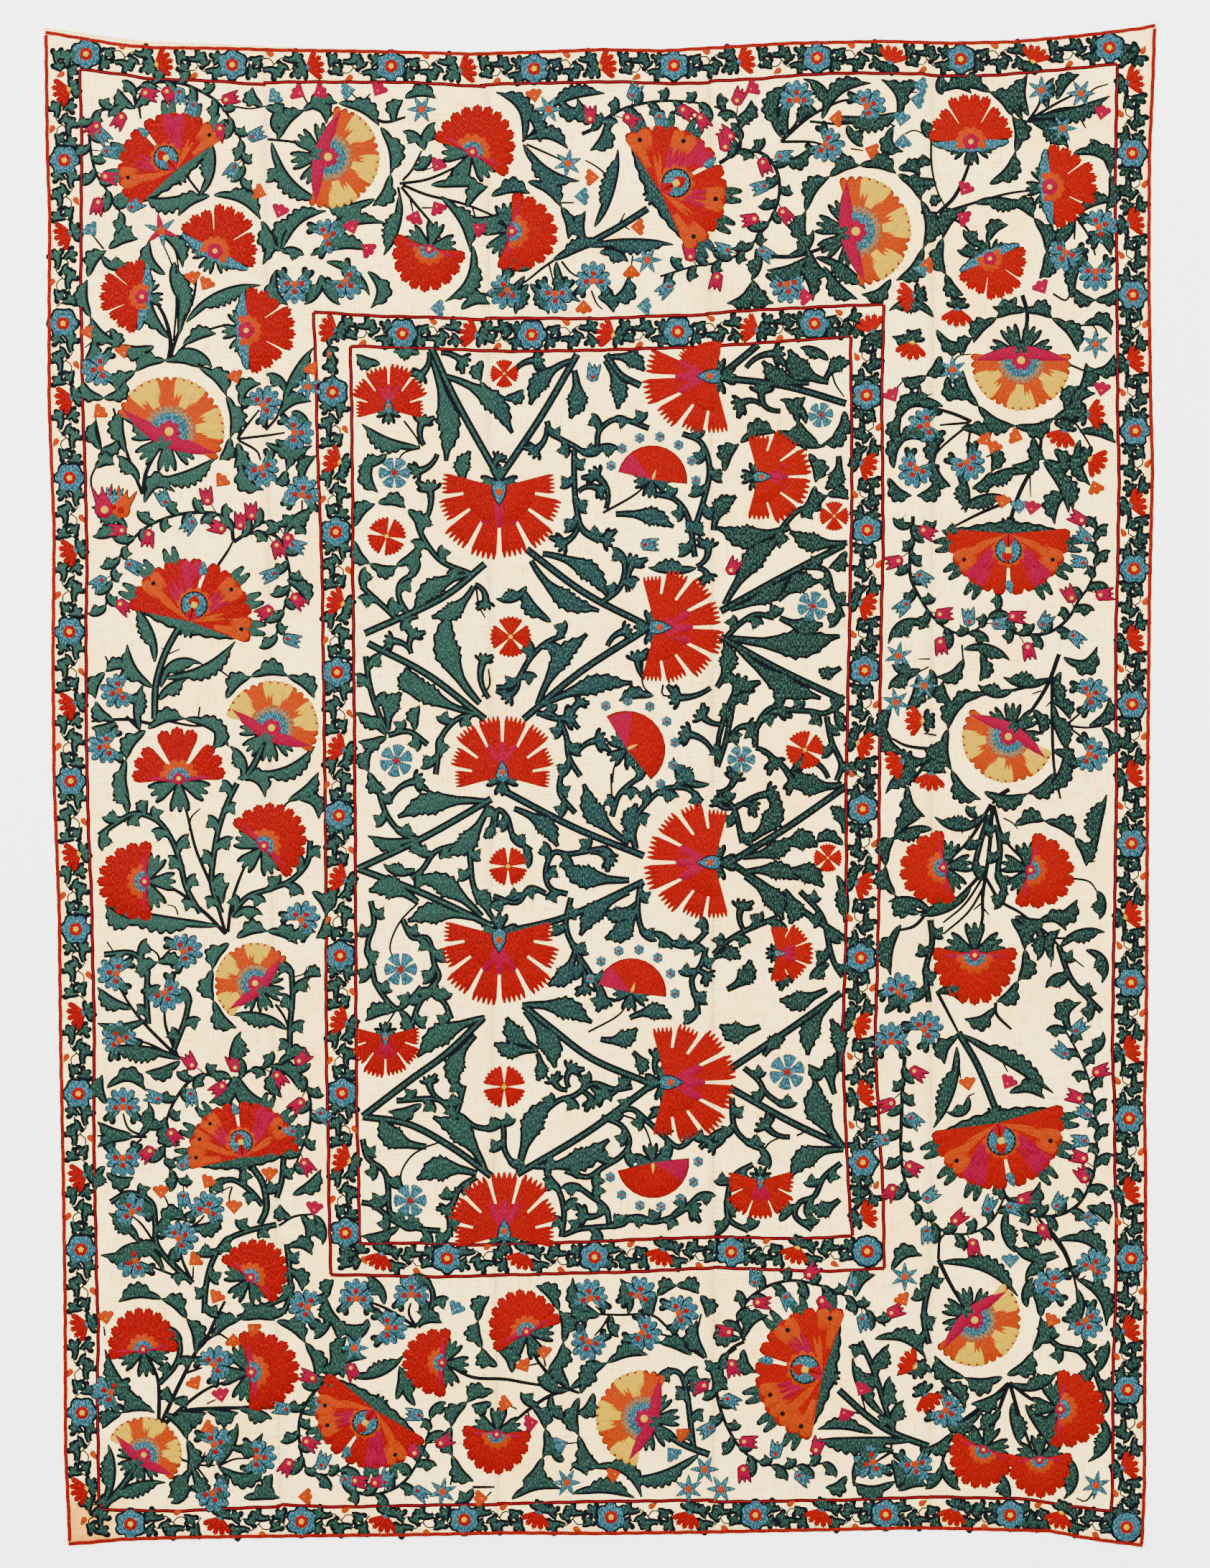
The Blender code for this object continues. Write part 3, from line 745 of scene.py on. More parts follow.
def leafy(path, starts, lean, length, bend, crest):
    """Sickle leaves on the left and right of a path in turn, from these of its points. Their lean in
    radians and length are each a middle value and how far a sine takes it to either side of that."""
    for number, here in enumerate(starts):
        side = (-1) ** number
        aim = heading(path, here) + side * (lean[0] + lean[1] * np.sin(here * 1.7)) / ANGLE
        end = away(*path[here], aim, length[0] + length[1] * np.sin(here * 2.3))
        sickle(*path[here], *end, -bend * side, crest * side)


def vine(*places):
    """A thin black stem with small sickle leaves on its left and right in turn."""
    path = smooth_path(places, STEM_STEP)
    sew("outline", ribbon(path, 0.38 * (1 - 0.4 * np.linspace(0, 1, len(path)))), 0.42)
    leafy(path, range(3, len(path) - 1, 4), (0.85, 0.25), (2.89, 0.68), 0.16, 0.72)


def branch(*places):
    """A green stem with a dark line round it, and larger sickle leaves on its left and right in turn."""
    path = smooth_path(places, STEM_STEP)
    outlined_ribbon("leaf", 0.45, path, 0.17)
    leafy(path, range(2, len(path) - 2, 6), (0.7, 0.2), (3.3, 0.5), 0.14, 1.0)


def tulip_bud(x, y, aim, silk, reach=3.2):
    """A bud with three pointed tips and a spot at its foot."""
    foot = away(x, y, aim, -reach * 0.45)
    for side in (-1, 0, 1):
        teardrop(silk, 0.5, *foot, aim + side * 17, reach * (1.0 if side else 0.92), 0.5, 0.16)
    teardrop(silk, 0.6, *foot, aim, reach * 0.8, reach * 0.27, 0.16)
    sew_fan("yellow" if silk == "magenta" else "red", 0.85, *away(*foot, aim, reach * 0.25), aim,
            reach * 0.12, 360)


RINGS = (  # middle, radius, then each leaf's first and last angle and its crest
    (-60, 85.3, 7.7, (100, 145, 1.1), (95, 30, 1.2), (28, -25, 0.5)),
    (-42, 98.2, 9.3, (158, 118, 1.2), (120, 85, 1), (84, 38, 1.2), (36, -12, 1.2), (-12, -48, 1.1)),
    (-72.3, 77.5, 8.6, (285, 248, 1.1), (248, 205, 1.1), (205, 165, 0.9), (162, 128, 1.1), (125, 92, 1.1)),
    (-67.5, 57.3, 9.7, (95, 62, 1.2), (62, 25, 1.3), (25, -15, 1.3), (-15, -38, 0.8), (95, 125, 1.2),
    (125, 152, 1.1)), (-78, 64.5, 3.4, (270, 190, 0.8), (270, 350, 0.8)),
    (-53, 51, 4, (60, -20, 0.7), (-20, -60, 0.6)),
    (-75, 14.5, 4.4, (75, 128, 0.8), (130, 190, 0.9), (250, 195, 0.9)),
    (-66, 1.8, 8.8, (125, 85, 1.1), (85, 30, 1), (128, 165, 1.1), (165, 205, 1)),
    (-51.8, 9.8, 8, (150, 112, 1.2), (112, 70, 1.3), (70, 30, 1.1)),
    (-28.2, 104.8, 4.2, (185, 130, 0.9), (125, 55, 0.9)),
    (-13.5, 86.8, 8.6, (150, 118, 1), (75, 30, 1.2), (30, -5, 0.5)), (-13.5, 86.2, 7.5, (118, 70, 1.2)),
    (-19.5, 99.5, 10.3, (10, 42, 1.1), (-100, -60, 0.8)), (41.8, 88, 9.7, (200, 165, 1.3), (165, 125, 1.3),
    (125, 95, 1.3), (95, 60, 1.4), (58, 25, 1.3), (25, -20, 1.3), (-20, -60, 1.3), (200, 235, 1.2)),
    (57.5, 102, 8.2, (-62, -15, 1.2), (-15, 25, 1.3), (25, 62, 1.2), (62, 100, 1.2)), (62, 84, 8.3,
    (75, 40, 1.2), (40, 0, 1.1), (0, -30, 1), (120, 165, 1.2), (165, 205, 1.1), (205, 235, 0.9)),
    (71, 94.5, 9.5, (50, 10, 1), (10, -25, 0.7)),
    (66.8, 66, 8.8, (88, 120, 1.2), (120, 155, 1.2), (90, 60, 1.2), (60, 15, 1.2)), (66.8, 66.3, 9.7,
    (222, 185, 1.3), (222, 262, 1.3), (262, 298, 1.2), (298, 333, 1.3), (333, 362, 1.2)),
    (78, 81, 4.5, (215, 270, 0.8), (270, 325, 0.8)), (49, 68.5, 4.6, (-10, -60, 0.8), (-60, -110, 0.8)),
    (57.3, 51.5, 4.8, (95, 30, 0.9), (30, -25, 0.9), (-25, -75, 0.8), (135, 190, 0.9), (190, 245, 0.9)),
    (49.5, 50, 4.3, (-20, -85, 1), (200, 265, 1)), (51, 56.5, 4.2, (95, 150, 1), (150, 215, 1)),
    (72.5, 54.8, 4.2, (180, 235, 0.8), (235, 295, 0.9)),
    (64, 6.5, 9.5, (130, 165, 1.3), (165, 205, 1.2), (205, 245, 1.3), (-5, -50, 1.1)),
    (49.3, 9.3, 4.4, (250, 190, 1.1), (190, 140, 0.8)), (-53, -31, 8.2, (130, 165, 1.2), (165, 200, 1.2),
    (200, 240, 1.2), (120, 85, 1.1), (85, 48, 1.1)), (-47.5, -20.5, 4.5, (60, 0, 0.9), (0, -50, 0.8)),
    (-68.5, -31.5, 3.9, (160, 105, 0.9), (105, 50, 0.9)),
    (53, -12.5, 8, (250, 215, 1.3), (215, 180, 1.3), (180, 145, 1.2), (145, 108, 1)), (68.7, -13.3, 7.9,
    (115, 80, 1.1), (80, 40, 1.3), (40, 5, 1.2), (245, 282, 1.2), (282, 325, 1.2)),
    (58.5, -26.5, 8.4, (42, 5, 1.3), (5, -30, 1.2), (-30, -62, 1.1)),
    (64.3, 7.2, 8.9, (245, 290, 1.2), (325, 290, 1.2)),
    (-71.8, -88.5, 8.3, (-5, 35, 1.1), (35, 70, 1.2), (70, 118, 1.2)),
    (-72, -105.5, 7.6, (78, 115, 1.2), (115, 145, 1), (62, 20, 1.2), (20, -20, 1.1), (-20, -58, 1)),
    (-54, -93, 9.4, (138, 105, 1.2), (105, 72, 1.3), (70, 35, 1.2), (35, -2, 1.1)),
    (-14, -86, 8.4, (-45, -10, 1.2), (-10, 25, 1.3), (25, 62, 1.1)),
    (-11.8, -85.2, 7.4, (235, 205, 1.2), (205, 172, 1.2), (172, 138, 1.1)), (-16, -102.8, 7.6,
    (95, 130, 1.2), (130, 165, 1.2), (165, 200, 1.2), (200, 240, 1.1), (45, 12, 1.2), (12, -22, 1.2),
    (-22, -60, 1.3)), (6.2, -99.3, 9.9, (158, 120, 1.2), (120, 82, 1.2), (162, 197, 1.2), (197, 235, 1.2)),
    (12.5, -83, 4.4, (185, 140, 0.9), (140, 95, 1), (95, 45, 1), (40, -8, 1)), (60.2, -84.3, 9.2,
    (-70, -108, 1.4), (-108, -145, 1.3), (-65, -30, 1.4), (-30, 5, 1.3), (5, 30, 1.2)),
    (-38.3, -80.6, 4.6, (-60, -120, 1), (-120, -180, 1), (180, 140, 0.8)))
STEMS = (  # half width, then places
    (0.25, 68.6,-21.8, 70.5,-23.3, 72.3,-25.2), (0.35, 70.3,-69.3, 73,-73, 74.8,-77.5),
    (0.16, -67,70, -66.6,76, -67,81, -68.8,85.6), (0.2, -62.9,93.3, -65.6,96.8),
    (0.2, -52.3,101.8, -48,101.3, -44.5,100), (0.2, -72.5,107.3, -72.2,105), (0.15, -78,84.5, -80,87),
    (0.16, -69,87.8, -67,85, -66.2,81.5), (0.15, -46,107.5, -46.8,109), (0.15, -37.5,107.5, -36,109),
    (0.15, -37.5,107.5, -39,109), (0.2, -52.9,84, -52.7,88),
    (0.3, -67.9,66.6, -67.5,70, -68.5,74, -70.3,76.8), (0.25, -67.7,67, -66.2,71.5, -64,76.5, -63.4,80),
    (0.22, -67.5,66.8, -64,70.5, -60,72.3, -57,72.5), (0.25, -71.9,45.9, -73.5,50, -75.2,55, -76.5,59.5),
    (0.3, -71.8,46, -71.3,49.5, -69.2,53.4), (0.17, -79.5,45.5, -80,48.5, -78.4,52.5, -79.3,58),
    (0.15, -76.5,72, -79,70.5, -81,69), (0.15, -79,70.3, -78.6,67), (0.2, -57,54.6, -55.3,57, -53.5,59.2),
    (0.2, -57,54.6, -52,55.2, -49.5,55.6), (0.2, -56.8,54.4, -54,52.8, -53.3,51.2),
    (0.17, -56.8,55, -56.3,59, -56.8,63), (0.2, -52.5,56, -50.5,58.5, -49,63),
    (0.15, -46.8,45, -46.8,42.5), (0.22, -60,34.8, -58.5,37, -57.7,38.5), (0.12, -67.8,20.8, -66,21.6),
    (0.12, -67.8,20.8, -69,21.8), (0.25, -70.5,9.8, -74.5,10.5, -80,10.2), (0.15, -77.8,20.5, -76.8,18.5),
    (0.15, -76.5,9.8, -77.3,8), (0.15, -62.9,12.5, -63.2,10.3), (0.15, -59.8,18.3, -57.7,16.8),
    (0.2, -69,10.5, -64,9.5, -60,9.8), (0.22, -31.5,94.8, -27,95.5, -22.5,97.5, -20.5,98.8),
    (0.22, -31,94.6, -27,93, -21,91.5, -14.5,88.8), (0.22, -31.2,94.3, -28.5,91, -26,88, -25,86),
    (0.2, -31.7,94.3, -31.3,91, -33,87.5), (0.2, -31,95.3, -29.5,97, -28,100),
    (0.12, -28,96.8, -25.8,97.5), (0.14, -29.8,92.5, -29.3,90), (0.14, -28,91, -26,91),
    (0.14, -20,91, -19.2,88.5), (0.25, -36,105.2, -33.5,104.5, -30.5,105.3),
    (0.22, -12.2,101.4, -10.5,103, -8.8,106), (0.18, -11.5,101, -7,99, -5.5,98.2),
    (0.15, 1.3,96, -0.5,97.5, -2.3,98.5), (0.15, -57.2,106.9, -55,106.6, -52.5,107),
    (0.15, -6,91.8, -4,91.8), (0.28, -2.8,84.9, -5,83.8, -7.2,83), (0.14, 3.3,88.5, 4.8,87.5),
    (0.14, 3,88.3, 4,90.2), (0.2, -6.8,83, -9,81.5, -11.5,79.5, -13.5,78.4),
    (0.18, -6,82.6, -4.5,80.8, -3,80), (0.15, -8,82.3, -7.3,79.5), (0.15, -1.3,78, -0.5,76, 0.5,75),
    (0.14, 5.2,83.5, 5,81.8), (0.3, 24.6,83.6, 30,83.3, 34,84.3, 38.3,86.2),
    (0.25, 28.5,101.4, 33,105.3, 38,107.8, 40.5,107.6), (0.22, 28.5,101.4, 33,101.4, 35,101),
    (0.22, 28.8,101.8, 31,104.5, 31,106), (0.2, 33,104.6, 38,104.2, 44,104.8, 46.5,103.8),
    (0.13, 39.5,100.3, 41.5,100), (0.15, 46.8,107, 48.5,109, 50,109.2),
    (0.13, 48,102.6, 49.5,103.2, 51.5,102.4), (0.17, 52.2,103, 52.2,98, 53,94, 54.3,91.3),
    (0.28, 53.3,90.2, 56,93, 58,97.5, 58.4,100), (0.22, 53.5,90.1, 58,91.5, 64,93.2, 68.5,93.8),
    (0.22, 53.4,90, 57,88.5, 59.5,85.5), (0.25, 50.5,90.3, 53.3,90.2),
    (0.22, 67.3,104.5, 69,107, 69.5,109), (0.22, 67.5,104.8, 72,107.5, 75,109),
    (0.2, 67.8,104.6, 72,106.5, 76,106.8, 79,106.5), (0.2, 67.5,104.5, 70.5,105, 72.5,104.3),
    (0.15, 76,106.8, 77.5,109.5, 80,110.5), (0.25, 65.5,103.5, 67.3,104.5), (0.15, 75.2,105.8, 76.5,103.5),
    (0.2, 74.8,90, 74.7,86), (0.2, 75,89.5, 77,86.5, 78,83.5), (0.2, 75,89.5, 77.5,88.6),
    (0.17, 71.3,77.5, 73.5,76.5, 74.5,79.5), (0.3, 66.5,77.3, 67.3,74, 66.6,69.5),
    (0.15, 56,77.5, 56,75.8), (0.13, 55.5,66.5, 56.5,67.7, 58.5,68),
    (0.13, 46.5,62.3, 47.5,63.5, 48.5,64.5), (0.25, 58.5,57.4, 55,58.8, 50,59.8, 47.5,58.8),
    (0.2, 58.2,57.2, 53.5,56.8), (0.2, 58.2,57, 54,53.5, 52,51), (0.2, 58.5,57, 58,54, 57.8,52.3),
    (0.3, 64.5,41.5, 66,46, 68,50, 69.3,53, 69.5,57.5), (0.25, 64.8,45, 60,43, 56,41),
    (0.13, 67.7,49.5, 67.8,45.5), (0.2, 70,57.5, 74,58.3, 76.5,58.3), (0.2, 73.8,58, 73.5,56.5),
    (0.18, 74.2,58, 76,55.5, 77.5,53), (0.15, 60.8,51.8, 61.8,52.2), (0.17, 73.5,66.5, 77,65.2, 80,65.5),
    (0.15, 74.5,72.3, 77.5,72.5, 78.5,70.8), (0.13, 77.5,65, 78.5,63.8), (0.22, 62.9,30.2, 62.9,28),
    (0.12, 51.8,18.8, 49.5,17.5, 47.5,15.5), (0.12, 52,20, 50,20),
    (0.3, 72.3,20.8, 70.5,16, 68,12, 65.5,9.3), (0.25, 71.5,17.2, 66,15.3, 60,14.3, 56,12.5),
    (0.25, 71.2,16.8, 71.2,10, 71.5,3, 72.5,-2), (0.2, 71.5,9.7, 73.2,9.6, 76,11.8),
    (0.18, 73.2,9.6, 76.5,9.2, 79.5,9.5), (0.18, 73.3,9.5, 75.5,8, 76.5,6.5), (0.15, 57,22.3, 57.3,18.5),
    (0.25, 52.8,5.8, 48.5,6.3, 46,7.5), (0.3, 52.5,5.8, 50.5,2.5, 48.5,0.2), (0.15, 52,5.5, 52,2.5),
    (0.28, -58.8,-23.3, -62,-20, -66,-16.8, -70,-14.8),
    (0.25, -58.8,-23.3, -61,-16, -63.5,-10, -65,-4, -66.2,-1.5),
    (0.25, -58.5,-23, -57.8,-18, -56,-13, -54.7,-10.8), (0.15, -64.5,-7, -64.3,-5, -62.8,-3.5),
    (0.13, -60.5,-12, -61,-10.8), (0.13, -66.3,-20.3, -66.8,-19, -68,-18.7),
    (0.12, -54.8,-16.5, -54.6,-18), (0.14, -74.5,-5.6, -77,-5.2), (0.18, -50,-3.8, -49,-2.5, -47,-2),
    (0.2, -51,-34.3, -49.5,-36.5, -48.8,-39), (0.12, -48,-30, -46.5,-29.5, -46,-28.3),
    (0.12, -46.5,-30, -45.5,-32), (0.25, -66,-43, -71.5,-37.5, -74.5,-33.5, -75.5,-31),
    (0.25, -66.3,-42.7, -68.2,-38, -68.5,-34.5), (0.17, -69.2,-28, -69.5,-26.5, -71,-25.3),
    (0.17, -69.2,-27.5, -67.5,-25.7, -66.5,-25.8), (0.13, -77.5,-24.5, -76.5,-26),
    (0.3, 64.5,-0.5, 62.8,-1.5, 61.8,-2.8), (0.28, 61.6,-2.8, 58.5,-8, 55.5,-11.2),
    (0.25, 62,-3, 63.5,-8, 67,-12), (0.3, 61.8,-3, 61.3,-10, 60.3,-17, 60.2,-21, 59,-24.8),
    (0.15, 58.8,-5.8, 57.5,-6.5, 57,-7.5), (0.13, 63.5,-5, 65,-5.8, 65.8,-6.8),
    (0.28, 60.8,-13, 57,-17, 53.5,-19.5, 49,-19.8), (0.2, 60.5,-14, 57.5,-18.5, 54,-21.5),
    (0.2, 60.6,-15.5, 58,-19.8, 54,-23.3), (0.25, 60.8,-14.5, 63,-18, 66,-19.8, 68.6,-21.8),
    (0.15, 76.5,-12, 78,-11.8), (0.16, 74,-14.5, 77,-15, 78.5,-17),
    (0.2, 68.6,-21.8, 71.5,-23.8, 75,-23.8), (0.15, 69.5,-23, 71,-26, 71,-28.5),
    (0.15, 73,-26, 75,-27.5, 76.2,-28.5), (0.25, 62.3,-34, 62.5,-36, 64.8,-38.3),
    (0.25, 51.5,-19.8, 49.5,-22, 46.5,-22.8), (0.14, 60,-18.5, 58.8,-19.5), (0.14, 60.2,-19, 61.3,-20.3),
    (0.2, -67,-42.5, -71,-40.5, -74.5,-39.8), (0.2, -71.2,-55.2, -74,-54, -75,-51.5),
    (0.22, -71.2,-55.2, -79,-55), (0.2, -72,-55.5, -74.5,-57.5), (0.2, -69.7,-72.4, -72,-69, -73.8,-67.5),
    (0.28, -64,-78.2, -67,-75, -69.7,-72.4), (0.2, -66,-77.3, -69.5,-76, -72.3,-74.8),
    (0.25, -64,-78.2, -65.5,-75, -66,-73), (0.2, -65,-69.8, -63,-68.5, -62.2,-67.5),
    (0.15, -67.8,-66, -68.3,-64.8, -68.8,-64.2), (0.15, -57.8,-63, -58.3,-65, -57.5,-66),
    (0.14, -60.5,-64.2, -58,-63), (0.14, -52.7,-63, -52.2,-61.3),
    (0.2, -50.5,-69.2, -48,-67.7, -45,-67.3, -44,-66.5), (0.15, -64,-77.5, -63.9,-75.5),
    (0.28, -69.4,-101, -69.3,-96, -69.6,-93, -70.9,-89.8),
    (0.3, -69.2,-100.8, -67,-96, -65.3,-92.5, -63.5,-89, -62,-87.3, -60.5,-84, -58.9,-81),
    (0.25, -69,-100.8, -65.5,-97.6, -62,-95, -59,-93.8, -56.5,-93.3),
    (0.3, -68.8,-100.8, -66,-98.5, -60,-97.9, -50.8,-97.8), (0.15, -76.8,-97.3, -76.3,-99),
    (0.2, -65,-92.3, -62.5,-91.5), (0.13, -61.8,-97.2, -60.3,-96.5),
    (0.2, -62,-87.3, -60,-86.2, -58.5,-87), (0.2, -66.3,-105.8, -63,-106.8, -60.5,-106.9),
    (0.18, -60,-107, -57.5,-105.9, -55.5,-105.8), (0.18, -63.5,-107, -61.5,-109.5),
    (0.15, -63,-106.5, -62,-104.8), (0.13, -62.8,-103, -62.3,-101.8), (0.14, -77.8,-86.5, -78,-85),
    (0.13, -53.5,-87.3, -53.8,-86), (0.25, -28.8,-85.2, -33,-82.5, -36.5,-81),
    (0.22, -28.8,-85.2, -30,-83, -29.7,-81.3), (0.2, -28.8,-85, -31.5,-85.1),
    (0.18, -41.5,-83.5, -44.5,-82.3), (0.25, -24,-91, -20,-93, -15,-93.3, -11,-94, -4.8,-94.9),
    (0.28, -4.8,-94.9, -8,-92.5, -10,-90, -11.2,-87.8),
    (0.27, -4.8,-94.9, -8,-96, -11,-98, -13.2,-99.8, -14.8,-101.2), (0.15, -8.5,-91.3, -8.8,-89.8),
    (0.15, -9.5,-90.8, -11.3,-91.2), (0.13, -11.3,-98.3, -11,-99.5), (0.13, -13,-98, -14.2,-97.5),
    (0.2, -22.8,-107.5, -23.5,-110), (0.13, -17,-111, -18,-112), (0.2, -20,-110.3, -16.5,-110.3),
    (0.25, -4.8,-94.9, -3.2,-95.5), (0.2, -1,-105.3, -3.5,-106.5, -4.7,-107.8),
    (0.22, 16.5,-90, 13.5,-88, 10.5,-85, 8,-83.2, 3,-83.2, -2,-83), (0.2, 13,-87.5, 10,-86.3, 8.5,-86.2),
    (0.18, 1.5,-83.3, 0.5,-85, -0.8,-86.5), (0.18, 7.5,-83.2, 6.8,-81.8), (0.18, 1,-83.2, -0.7,-81.8),
    (0.2, 15,-89, 15.3,-86, 16,-83), (0.25, 22.8,-87.4, 21,-88.3, 19.3,-90),
    (0.14, -5.8,-103.5, -3.5,-103.3), (0.22, 45.8,-104.8, 43.5,-106.3), (0.22, 45.8,-104.8, 49,-106.5),
    (0.2, 45.8,-104.8, 46,-103), (0.15, 41.2,-96, 42,-98.8), (0.15, 39.8,-98.5, 42.5,-99),
    (0.3, 53.3,-74.5, 55,-78, 57.3,-82), (0.28, 64.5,-93.8, 68,-96.5, 71,-97.3),
    (0.28, 64.4,-93.8, 62.5,-99, 61.3,-103), (0.28, 64.5,-93.8, 66,-99, 68,-104.5),
    (0.15, 78,-110.5, 76.5,-112.5, 75,-112),
    (0.3, 64.3,-94, 61,-97, 57,-100, 55,-102.5, 54,-106, 53.5,-109), (0.25, 53,-32.2, 55,-36, 56.4,-38.7),
    (0.15, 62.5,-41.5, 64.2,-45), (0.15, 56.3,-42, 56.8,-46), (0.22, 53.3,-74.5, 53.5,-71.5, 54.5,-70.3),
    (0.22, 69,-68, 71,-70.5, 74,-75, 75,-79, 76,-83), (0.15, 75.3,-78, 76.5,-77),
    (0.13, 58,-48.8, 59,-48.3), (0.14, 78.3,-98.8, 78,-97), (0.15, 53,8, 51,8.3), (0.13, 69.5,15, 68,14.5),
    (0.13, 71.2,13.5, 70.2,12.5), (0.25, -74.5,11, -72,8.5))
CANES = (  # places
    (-54.6,-60, -53,-62.5, -52.4,-66.3, -53.5,-69), (-78,-113.5, -75,-110, -73,-107),
    (17.3,-105.2, 13,-103.5, 9,-100.8), (37.6,-95, 42,-99, 46,-101.7, 51.8,-103.9),
    (56.4,-38.7, 59.5,-44, 62.3,-50.8), (-65.8,25.6, -68.3,21, -69.8,16, -70,10.5),
    (-53,6.5, -54.3,3.5, -56,1), (-2.5,85, 3,88, 7.6,90.9))
VINES = (  # places
    (-72.9,107, -73,109.3, -70.5,110.7, -66,110.6, -62.5,109.2, -60,107.5, -57.8,104.5, -56.3,101,
    -56,97.5, -56.2,95.3),
    (-73,106.8, -76,106.9, -79.3,105.8, -80.2,102.5, -79.9,99, -79,96, -77,93, -75.3,90, -74.9,87),
    (-57.6,38.6, -58.3,41.8, -61.5,43, -66,42.8, -70.5,41.2, -73.5,38.8, -75.8,35.5, -77,31.5, -77.8,28),
    (-57.6,38.4, -55,39.8, -51,39.4, -49.3,36, -48.7,32, -49.8,27.5, -51,23.5),
    (-55.5,39.8, -53,41.5, -49.5,41, -46.8,42),
    (-2.8,102.6, -0.3,103.8, 1.8,105.6, 5,107, 9.5,107.8, 14,107.7, 17,107.2), (18.8,98, 22,99.8,
    25.5,99.6, 27.8,97, 28.3,93.5, 27.3,90, 25,86.5, 22.5,84, 18.5,82.4, 14.5,81.7, 9.5,80.2),
    (22,100, 22.2,103, 21.3,105.5, 18,107), (49.3,42.5, 49.2,38, 48.8,35.5, 49,32.5, 50.5,29.5, 52.3,26.8,
    55,24.5, 58,24, 60.3,25.5, 62.8,28.2), (-57.3,-47.3, -58.5,-45.8, -62,-45.4, -64.8,-46.7, -67.5,-50.8,
    -68.6,-55.5, -67.8,-59.9, -64.8,-63.2), (-57.3,-47.3, -56,-45.3, -53.5,-44.3, -51,-43.9),
    (-50,-44, -47,-45.4, -45.6,-49, -45.6,-53.5, -46.9,-57.1, -48.3,-61), (48,-42.5, 47.7,-47, 47.5,-52,
    47.4,-57, 48,-62, 50,-66, 53,-69.3, 56,-70.5, 59.5,-70, 62,-68, 63.8,-64.4), (63.8,-64.4, 66,-66.8,
    71,-67.7, 75.3,-65.8, 77.7,-61, 78.2,-55.5, 77.8,-50, 76.7,-45.5, 75,-41.5, 73,-38), (-38.9,-88.8,
    -42.1,-92.4, -45.7,-96.4, -47.3,-100.4, -46.7,-106, -44.9,-108.4, -40.5,-107.6, -38.9,-105.6),
    (-40.5,-107.6, -39.7,-110.4, -36.9,-111.4, -34.1,-111.2, -30.5,-109.2, -27.5,-104, -26.5,-99),
    (21.5,-88.3, 19,-90.5, 18.3,-94, 19,-98, 20.7,-102, 23,-105, 26.5,-106.8, 31,-107, 35.5,-106.5),
    (22.8,-87.3, 21.7,-84.5, 22.8,-81.5, 25,-79.5, 27.5,-78.3, 31,-77.8, 36,-79, 40,-81, 43,-83.3, 45,-85),
    (62.9,28.2, 63.5,26, 65,24.3, 68,23.8, 71,24.3, 73.8,26.5, 75.5,29.5, 77,31.5, 78,35, 78,39, 78,42.5))
